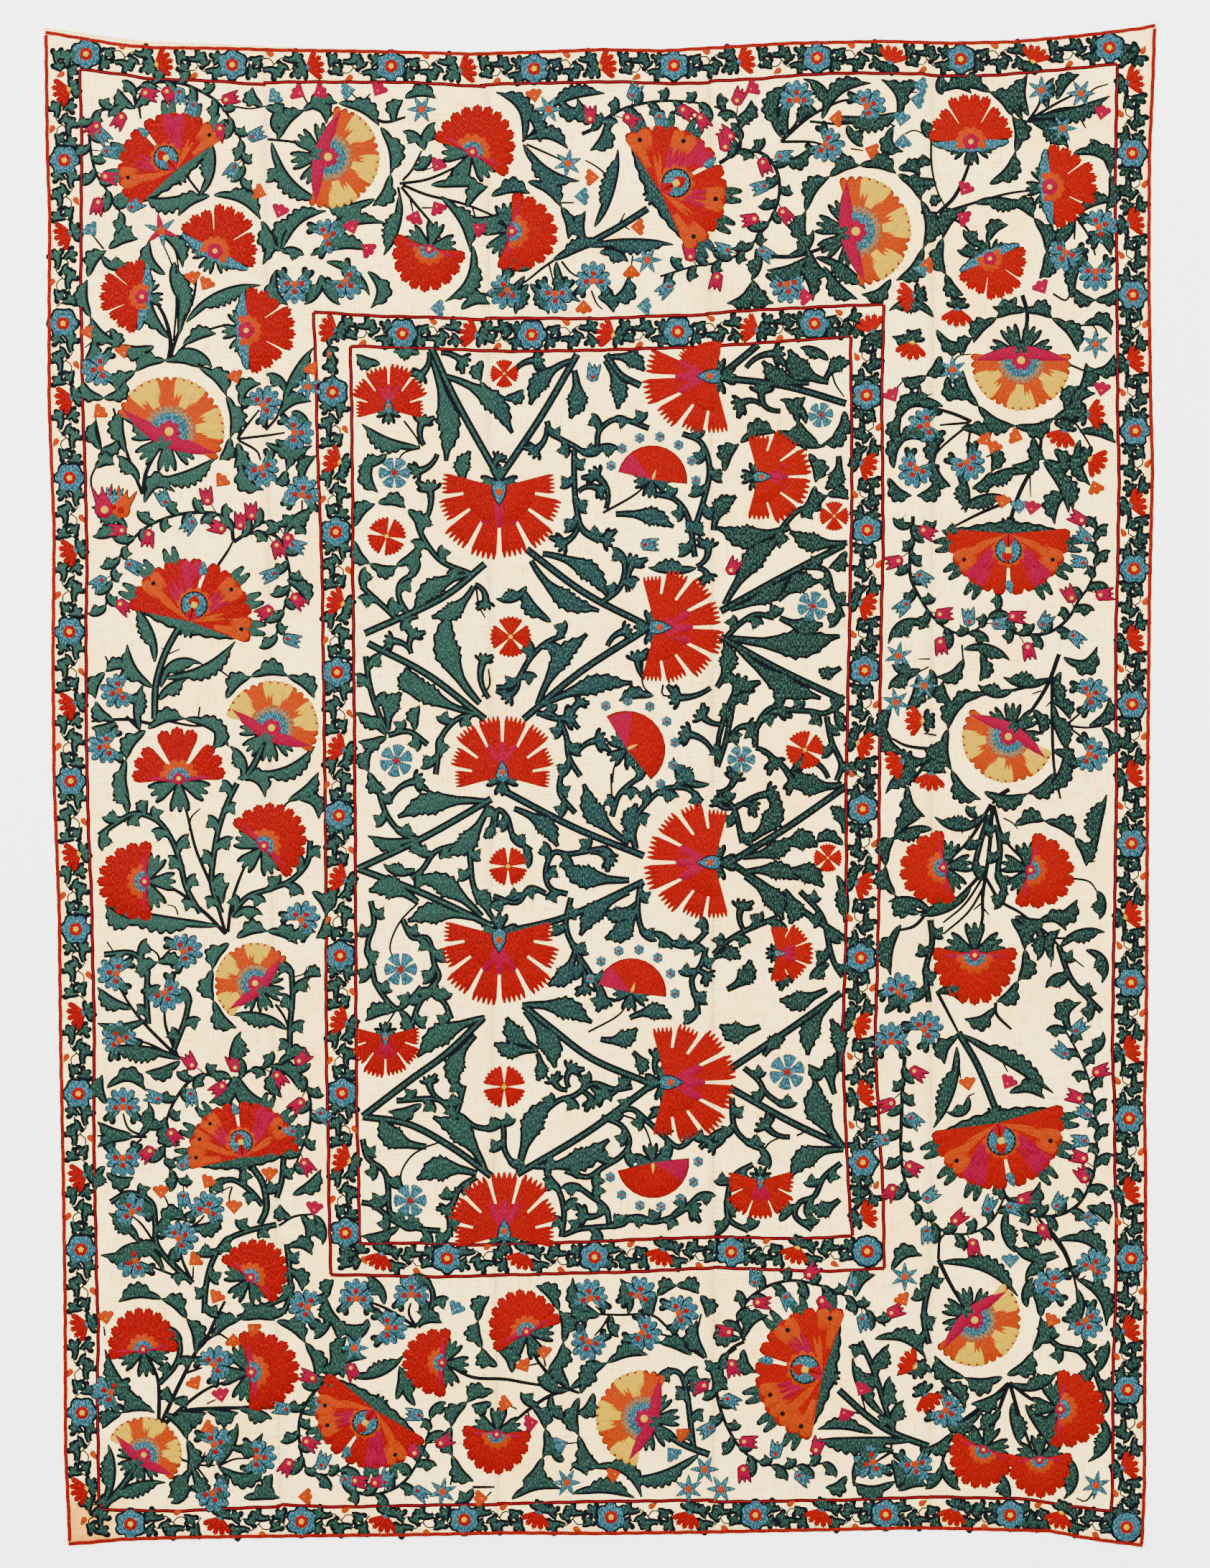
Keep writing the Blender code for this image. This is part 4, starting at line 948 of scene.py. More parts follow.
SICKLES = (  # foot, tip, bend, crest
    (-75,58, -69.8,54.6, 0.1,-1), (-74.3,40.6, -80,43.9, -0.1,1.3), (-75,41, -79.8,39.3, 0.1,-1),
    (-71.6,44.6, -66.8,46.3, 0.4,1.3), (-57,1.2, -52.6,-1.8, 0.3,1.3), (-49.5,39.6, -44.9,43.6, 0.12,-1.1),
    (-49.2,32.5, -45.8,28.4, 0.15,1), (-57.4,-45.6, -61.5,-49.8, 0.15,1),
    (-57.4,-45.8, -59,-50.4, 0.1,-0.9), (-57.2,-45.8, -55.8,-50.4, -0.1,0.9),
    (-57,-45.6, -52.3,-49.8, -0.15,-1), (-57.5,-44.8, -56.4,-38.6, 0.1,-1.6),
    (-52,-44, -47.3,-47.8, 0.2,1), (-51,-44, -50,-49, -0.15,-0.9), (-50.5,-43.8, -45.2,-42.8, 0.2,0.9),
    (-68.3,-52, -66,-56.6, -0.2,-1.1), (-66,-43.3, -71.5,-45, 0.1,1), (-72,-21.6, -77.8,-18.6, 0.12,1.3),
    (74.6,47, 71.6,41.2, -0.2,-1.4), (49.2,41.4, 46.2,42.3, 0.3,-1.1), (49.3,41, 53,41.9, -0.3,1.1),
    (51.9,25, 45.4,22.4, -0.3,1.6), (50.5,18.4, 46,19.2, 0.2,-1), (50,17.6, 45.4,15.2, -0.15,1.1),
    (50.2,17.6, 48.2,11.9, 0.1,1.1), (52,18.4, 51.6,13.6, 0.15,-0.9), (51.8,4.4, 45,-1.2, -0.1,1.5),
    (71.3,13, 73.9,5.3, -0.05,1.3), (-70,-98.6, -77.8,-88.6, 0.11,1.3), (-43.2,-93.3, -38.2,-92.4, 0.2,1),
    (-42,-92, -36.6,-90, 0.15,1), (-42.5,-92.5, -42.5,-87.8, -0.15,-1),
    (-40.8,-90.8, -39.8,-86.6, 0.15,0.9), (-33.9,-81.6, -36.8,-77, -0.15,1.3),
    (-4.8,-94.8, -6.4,-90, 0.1,1.1), (-5,-95, -9.8,-93.2, 0.15,-1), (-4.6,-94.7, -1.4,-90.2, -0.15,-1.1),
    (16.9,-90, 15.3,-84, 0.15,1.3), (22.2,-86.8, 18.2,-84.8, 0.2,1.1), (22.6,-87, 26.6,-83.3, 0.2,1.2),
    (22.7,-88.6, 24.6,-92.3, -0.2,-1.1), (15.6,-105.1, 4.2,-109, 0.1,1.2),
    (58.4,-15.9, 50.3,-20.3, 0.12,-1.2), (52,-19.8, 45.4,-18.2, -0.15,1.1),
    (44.9,-35.8, 49,-34.4, 0.2,1.1), (64.3,-64.8, 69.3,-62.2, -0.3,-1.3), (74.2,-38.6, 75.8,-34, 0.35,1.3),
    (76,-41.6, 79.2,-38.6, -0.3,1), (64.2,-66.8, 65.4,-73.4, -0.15,1.2), (71,-70, 66.2,-69.6, 0.2,1),
    (76.6,-66.2, 80.2,-69, 0.15,1.1), (40.2,-80.4, 43.4,-76.9, 0.2,1.3),
    (46.4,-109.4, 39.7,-109.5, 0.18,1.2), (53.6,-93.4, 57.6,-97.9, 0.1,1.1),
    (-66.2,71, -66.6,82, -0.06,-1.1), (-67.8,70.5, -71,77.5, 0.1,1), (-68.3,80.5, -70.8,86, 0.2,1),
    (-45.5,83.5, -36,84.3, 0.12,1.2), (-43,82.5, -36.2,77.2, 0.15,-1), (-50.3,84.5, -47.8,89, 0.2,1),
    (1,105, -3.5,108.3, 0.2,1.1), (1.3,105, -1.5,100, 0.15,1.2), (33.3,83.5, 26.3,81.2, 0.12,1.3),
    (24.6,84.6, 23.8,79.6, 0.15,-1.1), (34,83.2, 41.8,78.2, 0.1,-1.3), (30.5,82.5, 33.5,76.3, 0.15,1),
    (36.5,105.3, 47.8,106.2, -0.08,-1.3), (33.5,100.5, 28.8,98.3, 0.15,1),
    (67.5,105.5, 67.3,112, 0.15,1.4), (68.5,105.3, 80.3,108.6, -0.06,-1.2),
    (68,104.5, 73.8,100.4, 0.1,-1.1), (56.2,49.5, 57.5,43, 0.12,-1.2), (71,49.5, 74.5,43.5, 0.1,1.2),
    (-62.9,93, -61.3,101.8, -0.12,1.2), (-63.5,93.3, -72,92.6, 0.1,1.3), (-78.3,83.5, -74,82.5, -0.3,1.2),
    (-66.8,82.5, -66,76.5, -0.1,1), (-65.5,69.5, -60.3,71.2, 0.1,0.9), (-66,68.5, -61,65.8, 0.15,-1),
    (-65,73, -53.3,78.8, 0.12,-1.2), (-72.5,48, -76,52, -0.1,1), (-74.5,52.5, -75,59.5, 0.1,1.2),
    (-71,47.8, -60.2,51.8, -0.08,-1.3), (-79.3,50, -76.3,50.5, 0.25,1), (-78.5,53, -79.3,57.5, 0.15,0.8),
    (-78.4,53, -75.8,54.5, -0.2,-0.7), (-79.5,70.5, -81,67, 0.15,0.8), (-77,72, -76.8,68.8, 0.2,0.8),
    (-56.5,60, -53.2,63.3, 0.25,1), (-49.7,60, -45,69, 0.06,-1.1), (-49.5,62, -52.5,64.8, -0.2,1),
    (-50.5,58.3, -45.3,60.5, 0.2,0.9), (-48.5,58.8, -45.8,57, 0.1,-0.7),
    (-52.5,54, -45.2,53.6, -0.15,-0.9), (-57,54, -57.5,50, 0.15,0.9), (-56.6,51.5, -52.8,46.6, -0.2,-1.2),
    (-47,47.8, -44.6,52, 0.15,0.7), (-70,19.5, -73.3,28.3, -0.1,1), (-70.2,15.5, -74.3,22.3, 0.15,1.2),
    (-69,15.5, -62.5,19.2, 0.3,-1.1), (-68.5,17, -57.3,22.8, -0.12,-1.1), (-69.3,13.5, -65,16.8, 0.1,-1),
    (-72.3,9, -71.8,16, 0.1,-0.8), (-76,10, -80,9.2, 0.1,0.9), (-61.5,10.5, -61,5.6, 0.25,1),
    (-56.3,0.8, -58.2,6.3, -0.2,1), (-54.8,1.9, -44.8,6.3, -0.15,-1.1), (-26.5,94.6, -18.2,94.6, 0.03,1),
    (-25,92.8, -20.3,84, 0.12,1.2), (-31.5,93, -34,83.5, 0.08,-1.3), (-29.5,97.3, -26.5,99.5, -0.2,0.9),
    (-27.6,100, -25.8,104.5, 0.15,-1), (-28,100.4, -31,103, -0.2,1), (-12,101.6, -16.3,109.2, -0.25,-1.2),
    (-11.5,101.8, -5,100.3, 0.2,1), (-12,101, -3.2,95.2, -0.14,-1.2), (-9,106.3, 0.8,109, 0.1,0.9),
    (-6.5,108.8, -2,106.8, -0.3,-1.1), (-2.2,85.2, -2.2,90.5, 0.15,1), (-0.8,88, 2.9,100.2, -0.06,1.1),
    (-1.8,84.9, 11.6,85.2, 0.04,-1.2), (0,83.9, 4.5,82.5, 0.15,-0.9), (-11.8,80.3, -18.3,77.5, 0.2,-1),
    (-11.2,79, -13.2,74.2, -0.1,0.9), (-11,79, -8,74.2, 0.1,-0.9), (-6.8,82.5, -3,76.2, -0.15,-0.9),
    (1,76, 4.6,80.5, -0.2,-1.2), (-0.3,77, 2.2,74.5, 0.2,0.9), (-10.5,81.8, -15.8,82.5, 0.1,-0.8),
    (28.7,102, 29.8,110.8, 0.2,1.3), (35,105, 42.7,110.6, 0.2,1.1), (35,105, 32,111.3, -0.3,0.9),
    (46.8,104.8, 44.3,111.2, -0.25,-1), (47.2,107.5, 50.5,110.8, 0.1,0.9), (39,104, 41.5,100.6, -0.1,1),
    (46.2,103.8, 47.8,99.8, -0.35,-1), (52,102, 51,105, 0.1,-0.8), (52.2,98, 50.8,99.5, 0.2,0.7),
    (53,95, 51.3,95.8, 0.2,0.7), (53.8,92.5, 52.2,93, 0.2,0.6), (59,91.7, 67,91.2, 0.08,-1),
    (53.8,109.3, 58.5,109, 0.25,0.9), (54,108.8, 54.2,112, 0.2,-0.8), (47,97, 50.5,96.2, 0.2,0.9),
    (66.5,105, 66,111, 0.15,1), (68.5,104.3, 73.5,101.3, 0.25,-1), (72,108, 75.5,112, 0.15,0.8),
    (70.5,106.7, 71.5,111.5, 0.15,-0.8), (74.5,99.5, 80.7,97.5, 0.2,0.9), (74.8,90.2, 80.9,92.2, 0.1,0.9),
    (74.5,90, 71.2,84.8, 0.15,-1), (76.5,87, 80.5,83.5, 0.2,0.9), (74.3,76.8, 76,83, 0.1,0.8),
    (65.5,77, 61.8,75.5, 0.3,-1.3), (52.5,73.8, 45.5,74.8, -0.25,1), (50.5,72, 46,70.8, 0.2,0.9),
    (53,71.8, 58.3,70.3, -0.3,-0.9), (57,67.8, 58.7,70.5, 0.2,0.7), (54.8,64.5, 57.5,62.5, -0.5,-0.8),
    (54,59.7, 46.5,56.5, -0.3,-1), (53,60, 50.5,63, 0.4,-1.3), (46,53.5, 52.3,53.7, 0.25,1),
    (46.3,50, 48.5,55, 0.2,0.8), (67.5,49.3, 59.8,46.8, -0.15,1.2), (64.8,44.8, 56.8,43.5, -0.15,1),
    (69.8,51, 73.8,43, 0.1,1.3), (69.6,53, 64.8,50.5, 0.2,1), (75.5,55.8, 81.2,54, 0.12,1),
    (75.6,54.5, 77.2,47.3, -0.15,-0.9), (73.5,58.8, 75.5,63, 0.15,0.9), (74.2,58.8, 78,61.8, 0.2,0.8),
    (77,65.3, 81,68, -0.25,-0.9), (76.2,72.5, 80.5,71, 0.3,1), (71.5,53, 72.5,50.2, 0.2,0.8),
    (57.3,21.5, 64.5,19.8, 0.15,-0.9), (57.3,20, 53,17.2, 0.2,0.9), (60,20.8, 59.8,16.5, 0.15,0.8),
    (70.8,17, 63.5,17.2, 0.15,-1.3), (65,15.2, 59.5,16, 0.2,-1), (60.5,14.6, 55.3,11.8, -0.1,-0.9),
    (73,20.3, 78.3,22, -0.35,-1.3), (72.6,18, 73.3,12.5, -0.2,0.9), (71.3,13.5, 74,10.5, 0.15,0.9),
    (71.4,5.5, 74,3.2, 0.2,0.9), (77,9.5, 80.3,14, -0.2,-0.8), (79,9.2, 80,4.5, 0.25,0.9),
    (68.2,12, 69.5,8, 0.15,0.8), (53.5,3.5, 53.8,6.5, 0.3,0.9), (51.5,4, 47.5,5.8, 0.2,0.8),
    (46,7.4, 45.2,11, 0.3,0.8), (55.5,12.5, 54,16.5, 0.15,0.9), (50.5,2.5, 54.5,2, 0.2,0.8),
    (-46,107, -43,104.2, 0.3,0.8), (-50,102.5, -50.5,106.5, 0.25,-1), (-44,84, -33.5,88.5, 0.2,1),
    (-50,84.5, -43,90.5, 0.18,1.1), (-50,84.3, -52.5,88.5, 0.2,1), (-50,84, -46.5,83.5, 0.15,-0.9),
    (-51,81, -49,75.7, -0.2,-1.1), (-43.8,80.5, -46.5,75.8, 0.15,-1), (-43.8,80.5, -40.8,75.7, -0.1,1),
    (-36.5,81, -36,75.2, 0.3,1.1), (-21.8,75, -17.2,75.8, 0.2,1), (-20,85, -24.3,76.3, 0.2,1.2),
    (-51.6,101.3, -43.6,92, -0.15,-1.3), (-50.5,98.5, -52.6,95, 0.2,-0.9),
    (-35.4,92.4, -43.5,91.4, 0.1,1.3), (-69.3,87.3, -65.6,81.6, 0.15,1),
    (-73.3,106.6, -75.8,109.8, 0.1,0.9), (-73.1,106.8, -71.8,109.8, -0.15,-0.7),
    (-53,107, -54.6,110, 0.2,1), (-52.6,106.8, -50.2,104.9, 0.2,0.9), (-7.3,82.7, 0.6,85.8, 0.05,0.9),
    (21.4,104.9, 23.9,108, -0.2,-0.9), (29.6,102, 29.9,106.6, 0.15,0.9), (31.2,104.4, 34,105.8, 0.25,0.8),
    (29.6,83.4, 33.6,87.6, -0.2,1.2), (24.2,79.6, 20,76, 0.2,1.1), (24.2,79.6, 27.4,76, -0.2,-1.1),
    (24.2,79.4, 24.4,74.8, 0.1,1), (35.3,81.8, 40.6,76.6, -0.1,-1.2), (60.6,84.4, 56.2,84.4, 0.15,-1.2),
    (60.4,85.2, 57.2,87.6, 0.15,-1), (61,85.6, 64.3,88.3, 0.2,0.9), (45.8,79.8, 41.2,77.4, 0.2,1),
    (-59.8,-22, -77.5,-18.8, 0.03,1.5), (-74.3,-4.3, -76.8,0.3, -0.15,1), (-71.5,-4.6, -71,-2.3, 0.2,0.7),
    (-57.5,-20.8, -53,-20.3, 0.25,-1), (-59.3,-18.5, -58.2,-15.2, 0.2,0.9),
    (-49,-2.3, -44.2,2.2, -0.1,-0.9), (-47.5,-2, -44.2,-5.2, 0.3,0.9), (-49,-24.5, -44.6,-23, 0.2,-0.9),
    (-49.2,-38.3, -57.8,-36, -0.1,1.1), (-46.5,-30, -43.8,-30, 0.2,0.7), (-71.5,-36.8, -79,-37.3, 0.12,1),
    (-73.5,-35, -79,-31.6, 0.1,1), (60.8,-4.2, 52.7,-4.8, 0.25,-1.2), (59.5,-4.6, 57.8,-3, 0.2,-0.9),
    (77.5,-11.3, 79.8,-1.3, 0.03,1.4), (78.3,-16.5, 78.6,-21, 0.15,-1.1), (72.5,-25.3, 79.5,-23, 0.15,-1),
    (76.5,-25.8, 79,-31, 0.3,-1.1), (69,-21.5, 73.4,-22.8, 0.3,0.9), (68.7,-22, 68.8,-27.5, 0.15,-0.9),
    (74,-30, 70.2,-31.8, -0.2,1.1), (62.2,-34.8, 57.4,-36.6, 0.2,1.1), (48.5,0, 51.2,-4.8, -0.2,-1.1),
    (52.3,-6.8, 46,-8.5, -0.1,1), (47.4,-21.8, 45.8,-29.8, -0.12,-1.5), (53,-32.5, 57.2,-34.3, 0.25,0.8),
    (-66,-43, -77.8,-41.3, -0.06,1.4), (-77.5,-47.5, -71.3,-48, 0.3,1.1), (-77.6,-50, -78.2,-45.4, 0.15,1),
    (-73.5,-54.9, -79,-52.8, 0.1,0.8), (-73.5,-55.3, -79,-56.8, -0.1,-0.9),
    (-72.5,-55, -71,-49.8, -0.2,1.1), (-77.8,-59.8, -79.3,-63.8, -0.15,1.1),
    (-77.6,-60.8, -73.3,-61.5, -0.2,-1), (-70,-72.3, -78.5,-73.8, 0.08,1.1),
    (-72.5,-71.8, -77.3,-67.2, -0.1,1.1), (-68.5,-76.5, -77,-74.3, -0.35,1.2),
    (-69.5,-70, -64.7,-68.5, 0.3,1.2), (-64.8,-69.8, -59.2,-68.3, -0.05,-1.1),
    (-47,-67.5, -46.2,-71.4, 0.2,1), (-45,-67.5, -43.6,-72.2, 0.15,-0.9),
    (-48.5,-68, -50.3,-65.8, 0.2,0.8), (-48.3,-64.3, -43.8,-60.3, -0.1,-1),
    (-49,-72.5, -45.2,-73.8, 0.25,1), (-49.3,-76, -46.8,-79.5, 0.2,1),
    (-66.5,-98.5, -61.8,-98.6, -0.08,-1.3), (-61.8,-98.1, -56.8,-98.6, -0.08,-1.3),
    (-56.8,-97.9, -51.5,-99.6, 0.05,-1.1), (-67.3,-97, -68,-94.4, 0.1,0.8),
    (-67,-96.8, -64.8,-96, -0.1,-0.8), (-78,-112.8, -77.3,-103.6, -0.1,1.2),
    (-77.8,-113.3, -68.3,-109.6, 0.12,-1.1), (-60.3,-106.8, -57,-100.2, -0.1,1),
    (-58.3,-103.8, -53,-101.8, -0.25,-1.1), (-60,-107, -52.3,-107.2, -0.2,-1.2),
    (-58.3,-108.5, -58.8,-113, -0.15,-1), (-56,-112, -50.3,-112, 0.05,1.4),
    (-52,-111.5, -51.5,-108.2, 0.1,0.6), (-64,-107.3, -62.7,-113.1, 0.05,1),
    (-64,-107.3, -66.5,-113, -0.1,-1), (-65,-110, -67.5,-112.8, 0.2,-0.9),
    (-42.5,-83.5, -45,-87, 0.1,-1.1), (-42.4,-83.6, -41,-87.2, 0.1,1.1),
    (-36.5,-83.8, -39.3,-87.3, 0.15,-1.1), (-39.5,-92.6, -30.8,-89.5, -0.15,1.1),
    (-28.6,-84.8, -24.8,-84.5, 0.2,0.9), (-32,-96.5, -31.5,-91.2, -0.1,-0.8),
    (-29,-97.5, -31,-91.5, 0.1,-1), (-13.8,-92.3, -16,-88.8, -0.2,-1.3),
    (-6.5,-93.3, -9.8,-92.9, 0.15,-0.9), (-9.5,-97.3, -12.4,-95.3, 0.2,-1.1),
    (-7.5,-95.8, -5,-99.5, -0.3,1.1), (-17,-97, -20.2,-97.4, 0.1,0.9), (-17.3,-95.4, -21,-94.3, 0.2,-0.9),
    (-20,-110.5, -22.8,-112.7, 0.2,-1.1), (-1.3,-107.3, 6.6,-111.9, 0.25,1.1),
    (-4.2,-111.3, 5.5,-112, 0.1,1.2), (-13.8,-112.2, -6,-110.6, 0.15,1.3),
    (-5.5,-106, -7.3,-104.3, 0.2,-0.8), (-4.5,-106.8, -2,-108.5, 0.2,0.8),
    (14.5,-89.5, 9.2,-87.6, -0.1,-1), (0,-83.3, -4.8,-81.6, 0.1,1), (4.5,-83, 3.2,-77.5, -0.15,1),
    (0,-83.2, -4.2,-77.3, 0.2,1), (2,-83.4, 3,-86.7, -0.2,0.8), (16.5,-90.3, 17.6,-96.2, 0.2,0.9),
    (17.5,-93.5, 14.9,-96.2, -0.2,-1), (-1,-95.5, -3.8,-98.8, 0.2,1), (49.5,-103, 33.3,-103, 0,1.5),
    (43,-101.9, 34.3,-101.2, -0.1,-0.8), (44.7,-99, 39.8,-90, 0.1,-1.1),
    (43.3,-93.5, 45.6,-87.8, 0.1,-1.2), (46.2,-101.5, 47.9,-96.6, 0.15,-1.2),
    (44.9,-98, 45.7,-92.8, 0.05,-0.9), (46.3,-104.5, 40,-110.2, -0.3,1.2), (46,-106, 46.8,-110.5, 0.1,1.1),
    (47,-110.9, 51.6,-110.1, 0.15,1.1), (43.3,-87, 51.3,-90, 0.2,1.1), (52.3,-92.3, 46.8,-92.8, -0.3,1.2),
    (38.8,-108.5, 35.5,-110.3, 0.2,1), (53.5,-75, 65.8,-80.3, 0.15,1.3), (53,-75.5, 50.2,-80, 0.1,-0.9),
    (77.8,-92.3, 80,-87.2, -0.1,1), (63.5,-95.3, 58.4,-97.2, 0.1,1.2), (63,-98, 59.5,-101.3, 0.1,-1.1),
    (60,-98.3, 53.8,-99.8, 0.2,1.2), (55.5,-101.8, 51.3,-104.2, 0.15,1.1),
    (54,-106, 56.8,-110.8, -0.15,0.9), (53.7,-107, 51.2,-110.6, 0.15,-1), (65,-97, 66.3,-103.8, -0.05,1.2),
    (67,-97.3, 71.8,-104.8, 0,1.4), (64.8,-94, 72,-92.1, -0.2,1.2), (78.3,-98.8, 76.8,-106.3, 0.3,-1.2),
    (73,-105.2, 73,-112.2, 0.25,-1.2), (62.8,-108.3, 64.3,-112.4, 0.1,-1.1),
    (56.4,-39.3, 54.3,-43.8, -0.2,-1.2), (56.2,-41, 52.5,-53.8, 0.08,-1.3),
    (56.8,-39, 71.4,-48.3, 0.02,1.3), (58,-48.8, 54.6,-51.3, 0.35,-1), (64.5,-48.3, 70,-49.2, 0.2,1.1),
    (71.8,-73.2, 65,-72, 0.25,-1.2), (72.3,-74, 67,-78, -0.2,1), (72,-71.5, 79.8,-75.6, 0.25,1.1),
    (75,-77.5, 79.7,-85, 0.2,1.1), (75,-79, 73.6,-85.7, 0.2,-1.1), (46,-76.2, 50.8,-73.9, 0.25,1.1),
    (67.3,-82, 68.2,-77.3, 0.15,-1), (71.3,-27.5, 72.5,-22.5, 0.2,0.6), (57.5,40.8, 53.8,40.3, 0.2,-1))
BRANCHES = (  # places
    (-62.8,-20, -65,-16, -66,-12, -67.3,-8.5, -69.5,-5.5, -73,-4.3, -76,-5.8, -78.8,-7.8),
    (-59.5,-20, -61,-15.5, -60.7,-11, -60,-7, -58.7,-3, -57,0.5),
    (-58,-20.5, -55.5,-17.5, -52,-16.2, -48.5,-14.8, -46,-12, -45.5,-8.5),
    (-48.7,-43, -48.7,-38, -48.3,-33, -48.5,-28.8),
    (-71,-37.5, -71.3,-33, -71.3,-29, -73.5,-26.3, -78,-26.5), (-67,-41.5, -65.3,-37, -64.5,-33.5),
    (61.3,-4.5, 60,-8.5, 58.8,-13.3), (62.5,-6, 63,-10, 62.7,-14, 64,-17.3),
    (52,-21, 52.3,-24.5, 51.3,-29, 51.8,-34), (72.2,-25, 74,-30, 76.5,-33, 79,-35.5),
    (-64,-78.2, -67.5,-75, -69.7,-72, -69.9,-69, -70.5,-65.5, -74,-64, -77,-65.5),
    (-50.8,-69, -55,-69.9, -58.7,-71.5, -60.8,-74.5, -61.9,-78.5, -62.2,-83),
    (-53,-66, -54.8,-63.8, -57.5,-62, -60.3,-62.3), (-49.7,-58.5, -50,-62, -50.8,-64.8),
    (-49.2,-72, -48.8,-76, -48.7,-80, -49.8,-83), (-69.3,-94, -67,-91.5, -66,-89, -66.3,-86.5),
    (-57,-83.7, -53.5,-82.2, -49.5,-80.5), (-28.7,-85, -27,-83.3, -26.2,-80, -27.5,-77.3),
    (14.8,-104.3, 14.3,-100, 13.7,-95.5, 12.7,-92.5, 10.5,-91.8),
    (46.3,-101.7, 44.7,-97, 43.5,-93, 42.3,-90, 41,-87.3), (53,-75.5, 51.5,-80, 51,-84, 51.8,-87.8),
    (69,-85, 72,-88, 75.5,-89, 77.8,-92, 78.8,-94.5, 79.8,-97))
for places in BRANCHES:
    branch(*places)
for sides in RINGS:
    ring(*sides)
for half, *places in STEMS:
    stem(half, *places)
for places in CANES:
    outlined_ribbon("leaf", LEAF_HEIGHT, smooth_path(places, 1.0), 0.25)
for places in SICKLES:
    sickle(*places)
finish_group("border_leaves")

# Magenta and blue buds stand on short stalks, on the left and right of each vine in turn. Where a bud's
# middle would be farther out than this, over the guard line, it goes to the other side.
BUD_SIDE, BUD_BOTTOM, BUD_TOP = 79.6, -111.3, 109.4
for places in VINES:
    vine(*places)
    path = smooth_path(places, STEM_STEP)
    for number, here in enumerate(range(4, len(path) - 2, 7)):
        for side in ((-1) ** number, -(-1) ** number):
            aim = heading(path, here) + side * (62 + 18 * np.sin(here * 2.1))
            stalk = 2.7 + 0.5 * np.sin(here * 1.3)
            x, y = away(*path[here], aim, stalk)
            if abs(x) < BUD_SIDE and BUD_BOTTOM < y < BUD_TOP:
                break
        stem(0.1, *path[here], *away(*path[here], aim, stalk - 0.8))
        tulip_bud(x, y, aim + 20 * np.sin(here), "blue" if number // 2 % 2 else "magenta")
finish_group("border_vines")

# --- Wide border: the large flowers ----------------------------------------------------------------
# Discs of orange and yellow sectors on a magenta band, palmettes with a medallion, and red carnations,
# each worked in couched silk from its rim inward and drawn round with dark chain stitch.
def calyx(x, y, aim, reach, leaves=3, spread=130):
    """Green lobed sepals spread about a direction behind a flower."""
    for turn in np.linspace(-spread / 2, spread / 2, leaves):
        outlined_fan("leaf", LEAF_HEIGHT, x, y, aim + turn, reach, spread / leaves * 0.9, lobes=3, depth=0.2)


def across_flower(x, y, aim, half, bend, stops):
    """Path through a flower's middle and square to its direction, from its left to its right."""
    return bow(*away(x, y, aim + 90, half), *away(x, y, aim + 90, -half), bend, stops)


def disc(x, y, aim, reach, sectors):
    """An orange half disc with yellow flames on every second of its sectors, round an eye with two
    fringed collars, on a magenta band that bulges behind it, and green sepals."""
    calyx(*away(x, y, aim, -reach * 0.1), aim + 180, reach * 0.62, 4, 150)
    spread = 196
    share = spread / sectors
    outlined_fan("orange", 0.55, x, y, aim, reach, spread, lobes=3 * sectors, depth=0.07, line=0.1,
                 edge="dark_red")
    for number in range(1, sectors, 2):
        turn = aim - spread / 2 + share * (number + 0.5)
        sew_fan("yellow", 0.65, x, y, turn, reach * 1.03, share + 8, lobes=4, depth=0.08,
                inner=reach * 0.66, jag=0.13)
        sew_fan("yellow", 0.66, x, y, turn - 3, reach * 0.8, share * 0.6, inner=reach * 0.48)
    path = across_flower(x, y, aim, reach * 0.95, 0.0, 14)
    t = np.linspace(0, 1, len(path))
    bulge = reach * 0.3 * np.sin(np.pi * t) ** 0.9
    sew("outline", ribbon(path, bulge + 0.12, 0.1 + 0.1 * np.sin(np.pi * t)), LINE_HEIGHT)
    sew("magenta", ribbon(path, bulge, 0.05 + 0.1 * np.sin(np.pi * t)), 0.75)
    sew_fan("grizzled", 0.8, x, y, aim, reach * 0.5, 180, teeth=14, nick=0.16, inner=reach * 0.3)
    sew_fan("blue", 0.9, x, y, aim, reach * 0.38, 190, teeth=10, nick=0.14)
    sew_fan("magenta", 1.0, x, y, aim, reach * 0.22, 200, lobes=4, depth=0.25)
    sew_fan("yellow", 1.1, x, y, aim, reach * 0.09, 360)
    outlined_fan("leaf", 0.9, *away(x, y, aim, -reach * 0.22), aim + 180, reach * 0.14, 300, lobes=4,
                 depth=0.2)


